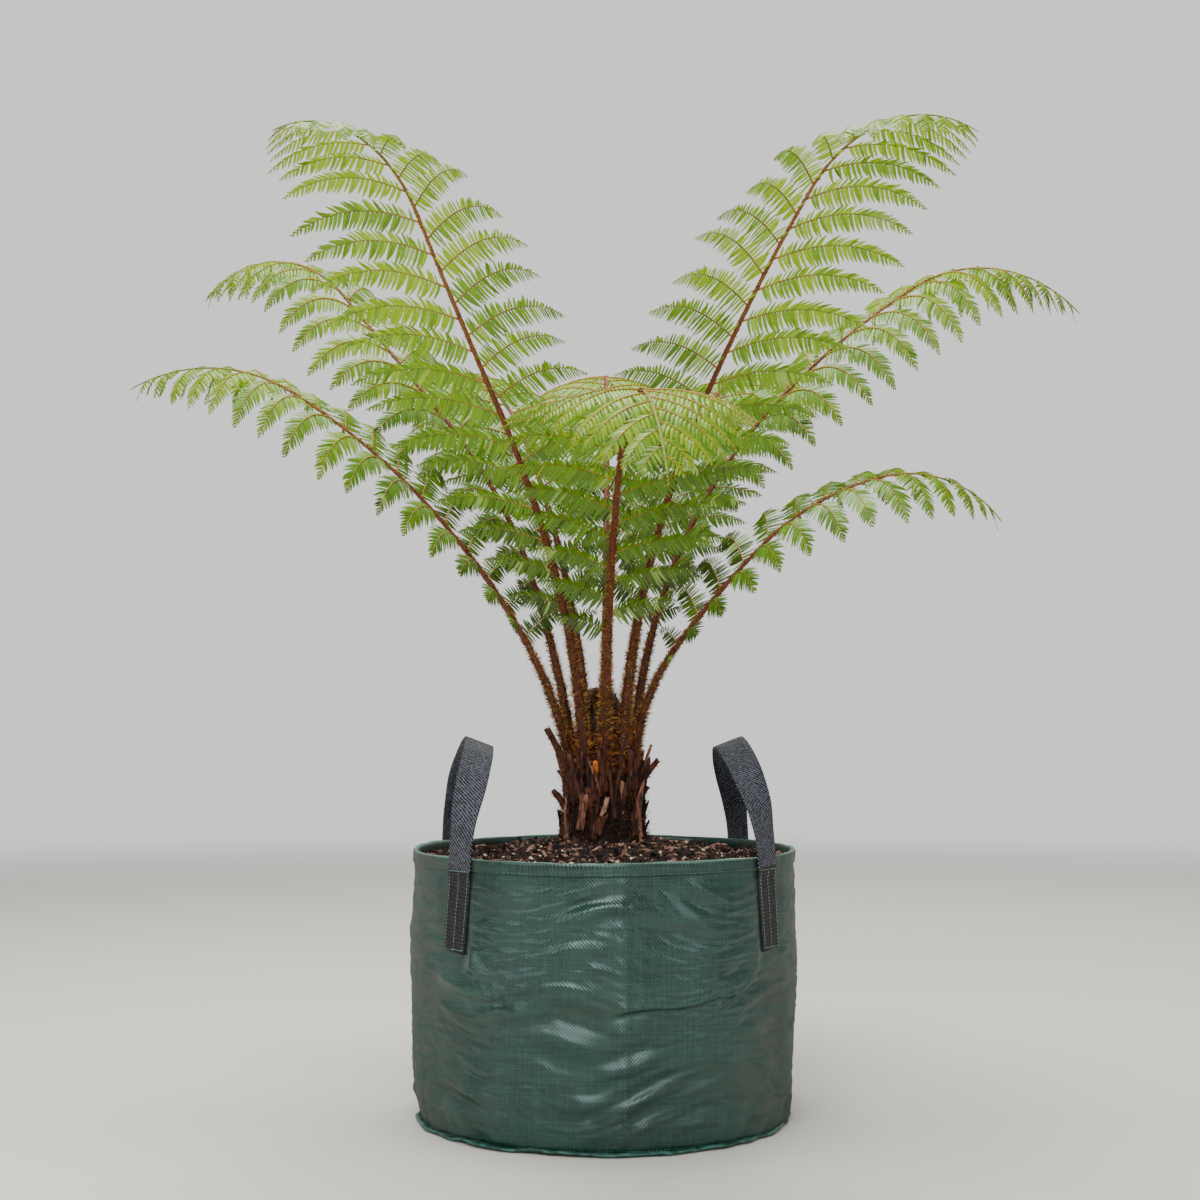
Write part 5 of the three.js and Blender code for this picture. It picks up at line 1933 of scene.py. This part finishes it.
    def build_rachis(self, bark: Finish) -> None:
        """Stalk and rachis as one rough tube, grooved on top, with a level foot on the trunk.

        Args:
            bark: its finish.
        """
        rachis, steps, sides = self.rachis, 150, 12
        along = np.linspace(0, 1, steps) ** 1.1
        left, up = rachis.axes(along)[1:]
        centres = rachis.at(along)
        foot = smooth(along, 0, 0.03)[:, None]
        left = unit(lerp(compass(rachis.frond.seat + 90), left, foot))
        up = unit(lerp(compass(rachis.frond.seat + 180), up, foot))
        rough = 1 + 0.07 * ripple(centres[:, None] + self.dice.normal(size=(1, sides, 3)), 0.012, 7)
        size = rachis.girth(along)[:, None] * rough
        size[-1] *= 0.3
        top = np.arange(sides) / sides * TURN - math.pi / 2
        groove = 1 - 0.28 * smooth(along, 0.1, 0.3)[:, None] * bell(top, 0.45)
        skin = Skin()
        skin.add_tubes(centres[None], left[None], up[None], (size * rachis.stalk_width / 2)[None],
                       (size * rachis.stalk_depth / 2 * groove)[None], sides, along=along)
        name = rachis.frond.name
        skin.make(f"{name}_rachis", [bark], "stalk", [f"{name}_stalk", f"{name}_blade", f"{name}_tip"])

    def build_scales(self, scales: list[Finish]) -> None:
        """Hair-like scales: long and dense at the foot, short further up, to three quarters.

        Args:
            scales: finishes of Hair.
        """
        rachis, dice = self.rachis, self.dice
        along = np.concatenate([0.4 * dice.uniform(size=self.foot_scales) ** 1.5,
                                dice.uniform(0.3, 0.78, self.blade_scales),
                                dice.uniform(0.06, 0.34, self.moss_scales)])
        count = len(along)
        way, left, up = rachis.axes(along)
        around = dice.uniform(0, TURN, count)[:, None]
        left, up = left * np.cos(around), up * np.sin(around)
        girth = rachis.girth(along)[:, None]
        spots = rachis.at(along) + (left * rachis.stalk_width + up * rachis.stalk_depth) * girth * 0.46
        lengths = lerp(*self.scale_length, smooth(along, 0.0, 0.36)) * dice.uniform(0.5, 1.5, count)
        out = left + up
        skin = Skin()
        for part, kinds in ((slice(0, -self.moss_scales), self.scale_kinds),
                            (slice(-self.moss_scales, None), self.moss_kinds)):
            strew_scales(skin, spots[part], out[part], way[part], lengths[part], 0.42 * MM, dice, kinds, 0.5)
        skin.make(f"{rachis.frond.name}_scales", scales, "stalk")

    def build(self, greens: list[Finish], rib: Finish, bark: Finish, scales: list[Finish]) -> None:
        """All the frond's pieces.

        Args:
            greens: finishes of the leaflets, in the order of Green.
            rib: finish of the side branches' ribs.
            bark: finish of the stalk and rachis.
            scales: finishes of Hair.
        """
        pinnae, name = self.grow(), self.rachis.frond.name
        leaves, ribs = Skin(), Skin()
        self.add_leaflets(pinnae, leaves)
        hidden = [f"{name}_blade", f"{name}_tip"]
        leaves.make(f"{name}_leaflets", greens, "blade", hidden)
        size = lerp(*self.rib, np.linspace(0, 1, self.steps + 1))
        size = size * (pinnae.length / (150 * MM))[:, None].clip(0.5, 1.1)
        ribs.add_tubes(pinnae.at, pinnae.normal, np.cross(pinnae.on, pinnae.normal), size, size, 5)
        ribs.make(f"{name}_ribs", [rib], "stalk", hidden)
        self.build_rachis(bark)
        self.build_scales(scales)


# Studio


@dataclass(frozen=True)
class Lamp:
    """A square lamp: its name, place, width, power in watts and colour."""

    name: str
    place: Triple
    size: float
    power: float
    colour: Triple

    def hang(self, aim: Triple) -> None:
        """Hangs the lamp at its place, out of the camera's sight.

        Args:
            aim: the place that it is turned to.
        """
        lamp = bpy.data.lights.new(self.name, "AREA")
        lamp.shape, lamp.size, lamp.energy, lamp.color = "SQUARE", self.size, self.power, self.colour
        made = bpy.data.objects.new(self.name, lamp)
        bpy.context.scene.collection.objects.link(made)
        made.location = self.place
        made.visible_camera = False
        away = np.array(self.place) - aim
        flat = math.hypot(away[0], away[1])
        made.rotation_euler = (math.atan2(flat, away[2]), 0, math.atan2(away[0], -away[1]))


@dataclass
class Studio:
    """Plain pale floor and wall, soft light and the camera of the photograph.

    The floor is its own colour up to where the square of the distance is far[0], and it glows from
    far[1] on. glow is how bright it is in front and how much brighter behind.
    """

    lens: float = 60.0
    sensor: float = 36.0
    eye: Triple = (-0.005, -2.66, 0.553)
    pitch: float = 2.7
    flat: float = 3.0
    bend_from: float = 6.0
    bend: float = 4.0
    wall: float = 12.0
    columns: int = 128
    pale: int = 0xDAD6CF
    far: tuple = (6.0, 30.0)
    glow: tuple = (0.34, 0.66)
    glow_y: tuple = (-2.0, 6.0)
    glow_colour: Triple = (1.0, 0.99, 0.98)
    sky_colour: Triple = (0.93, 0.96, 1.0)
    sky: float = 0.22
    aim: Triple = (0, 0, 0.6)
    lamps: tuple = (Lamp("key", (-0.7, -3.2, 2.8), 1.9, 98, (1.0, 0.99, 0.97)),
                    Lamp("front", (0.2, -4.6, 1.6), 1.7, 42, (0.99, 0.99, 1.0)),
                    Lamp("left", (-3.1, -2.8, 1.5), 1.6, 24, (0.99, 0.99, 1.0)),
                    Lamp("right", (3.1, -2.6, 1.5), 1.6, 22, (0.99, 0.99, 1.0)),
                    Lamp("top", (-0.3, 0.2, 3.4), 1.4, 120, (1.0, 1.0, 0.98)),
                    Lamp("back", (1.4, 3.0, 2.6), 1.6, 32, (1.0, 0.98, 0.9)))

    def place_camera(self) -> None:
        """A level camera that looks along +Y and slightly up."""
        camera = bpy.data.objects.new("camera", bpy.data.cameras.new("camera"))
        bpy.context.scene.collection.objects.link(camera)
        camera.data.lens, camera.data.sensor_width = self.lens, self.sensor
        camera.location = self.eye
        camera.rotation_euler = (math.radians(90 + self.pitch), 0, 0)
        bpy.context.scene.camera = camera

    def paint_floor(self) -> Finish:
        """Pale near the plant. Far off it is black and glows evenly, brightest at the back.

        So a plain pale wall stands behind the plant, and no dark band is seen from any side.

        Returns:
            The material.
        """
        paint = Paint("floor", 0.9, Specular_IOR_Level=0.0, Emission_Strength=1.0)
        paint.material.cycles.emission_sampling = "NONE"
        x, y, _ = paint.axes(paint.place())
        far = (x * x + y * y).ramp(*self.far)
        black = (0, 0, 0, 1)
        paint.feed("Base Color", paint.blend(far, tint(self.pale), black))
        front, more = self.glow
        glow = (y.ramp(*self.glow_y) * more + front) * far
        paint.feed("Emission Color", paint.blend(glow, black, (*self.glow_colour, 1)))
        return paint.material

    def lay_floor(self) -> None:
        """A wide dish: flat round the plant, and far off it curves up a quarter turn to a wall."""
        turn = np.linspace(0, math.pi / 2, 25)
        bent = self.bend_from + self.bend * np.sin(turn)
        radius = np.concatenate([[0.01, self.flat], bent, [self.bend_from + self.bend]])
        z = np.concatenate([[0.0, 0.0], self.bend * (1 - np.cos(turn)), [self.wall]])
        angle = 360 * np.arange(self.columns) / self.columns
        points = compass(angle, radius[:, None], z[:, None]).reshape(-1, 3)
        mesh = bpy.data.meshes.new("floor")
        mesh.from_pydata(points.tolist(), [], grid(len(radius), len(angle), True)[0].tolist())
        mesh.polygons.foreach_set("use_smooth", np.ones(len(mesh.polygons), bool))
        mesh.materials.append(self.paint_floor())
        floor = bpy.data.objects.new("floor", mesh)
        bpy.context.scene.collection.objects.link(floor)

    def light(self) -> None:
        """A dim sky, a key from above the front, low broad lamps round it, one above and one behind."""
        world = bpy.data.worlds.new("sky")
        bpy.context.scene.world = world
        world.use_nodes = True
        sky = world.node_tree.nodes["Background"]
        sky.inputs["Color"].default_value = (*self.sky_colour, 1)
        sky.inputs["Strength"].default_value = self.sky
        for lamp in self.lamps:
            lamp.hang(self.aim)


def main() -> None:
    """Builds the sub-assemblies in order round the frame."""
    logging.basicConfig(level=logging.INFO, format="%(message)s")
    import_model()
    studio = Studio()
    studio.place_camera()
    studio.lay_floor()
    studio.light()

    cloth = WovenCloth().paint()
    thread = Plain("thread_pale", 0x7FA69A, 0x5E8579, roughness=0.6).paint()
    dim_thread = Plain("thread_green", 0x557F72, 0x3C665A, roughness=0.6).paint()
    bag = PlanterBag()
    bag.build_wall(cloth)
    bag.build_hem(cloth)
    bag.build_welt(Plain("welt_tape", 0x1A3831, 0x38665A, 0.012, (1, 1, 3), 0.5, 0.3 * MM).paint())
    bag.build_stitches(dim_thread)
    loop = Strap("webbing_loop", 0x030408, 0x585B68, False).paint()
    patch = Strap("webbing_sewn", 0x040303, 0x322D2F, True).paint()
    for name, centre in (("handle_left", 186.2), ("handle_right", 2.4)):
        Handle(name, centre, bag).build(loop, patch, thread)

    soil = Plain("soil", 0x120A07, 0x2C1B14, 0.005, roughness=1.0, depth=1.5 * MM).paint()
    PottingMix(bag).build(soil, [bit.value[0].paint() for bit in Bit])

    bark = Plain("trunk_bark", 0x0E0705, 0x2A170F, 0.006, UPRIGHT, depth=1.5 * MM).paint()
    bases = {base: base.value.paint() for base in Base}
    hairs = {hair: hair.value.paint() for hair in Hair}
    scales = list(hairs.values())
    Trunk().build(bark, bases, hairs)
    stem = Plain("shoot_stem", 0x4A2E1A, 0x24130B, 0.003, depth=1 * MM).paint()
    Shoot("shoot_front", (-6, -14), 44, 11, 6.5, 200).build(stem, scales)
    Shoot("shoot_rear", (8, 12), 30, 9, 5.5, 40, seed=6).build(stem, scales)

    greens = [green.paint() for green in Green]
    rib = Plain("pinna_rib", 0xA8792E, 0x8C6A2A, roughness=0.5).paint()
    stalk = StalkBark().paint()
    stalks = [Rachis(frond) for frond in FRONDS]
    for number, rachis in enumerate(stalks):
        FrondGrower(rachis, stalks, number).build(greens, rib, stalk, scales)


if __name__ == "__main__":
    main()
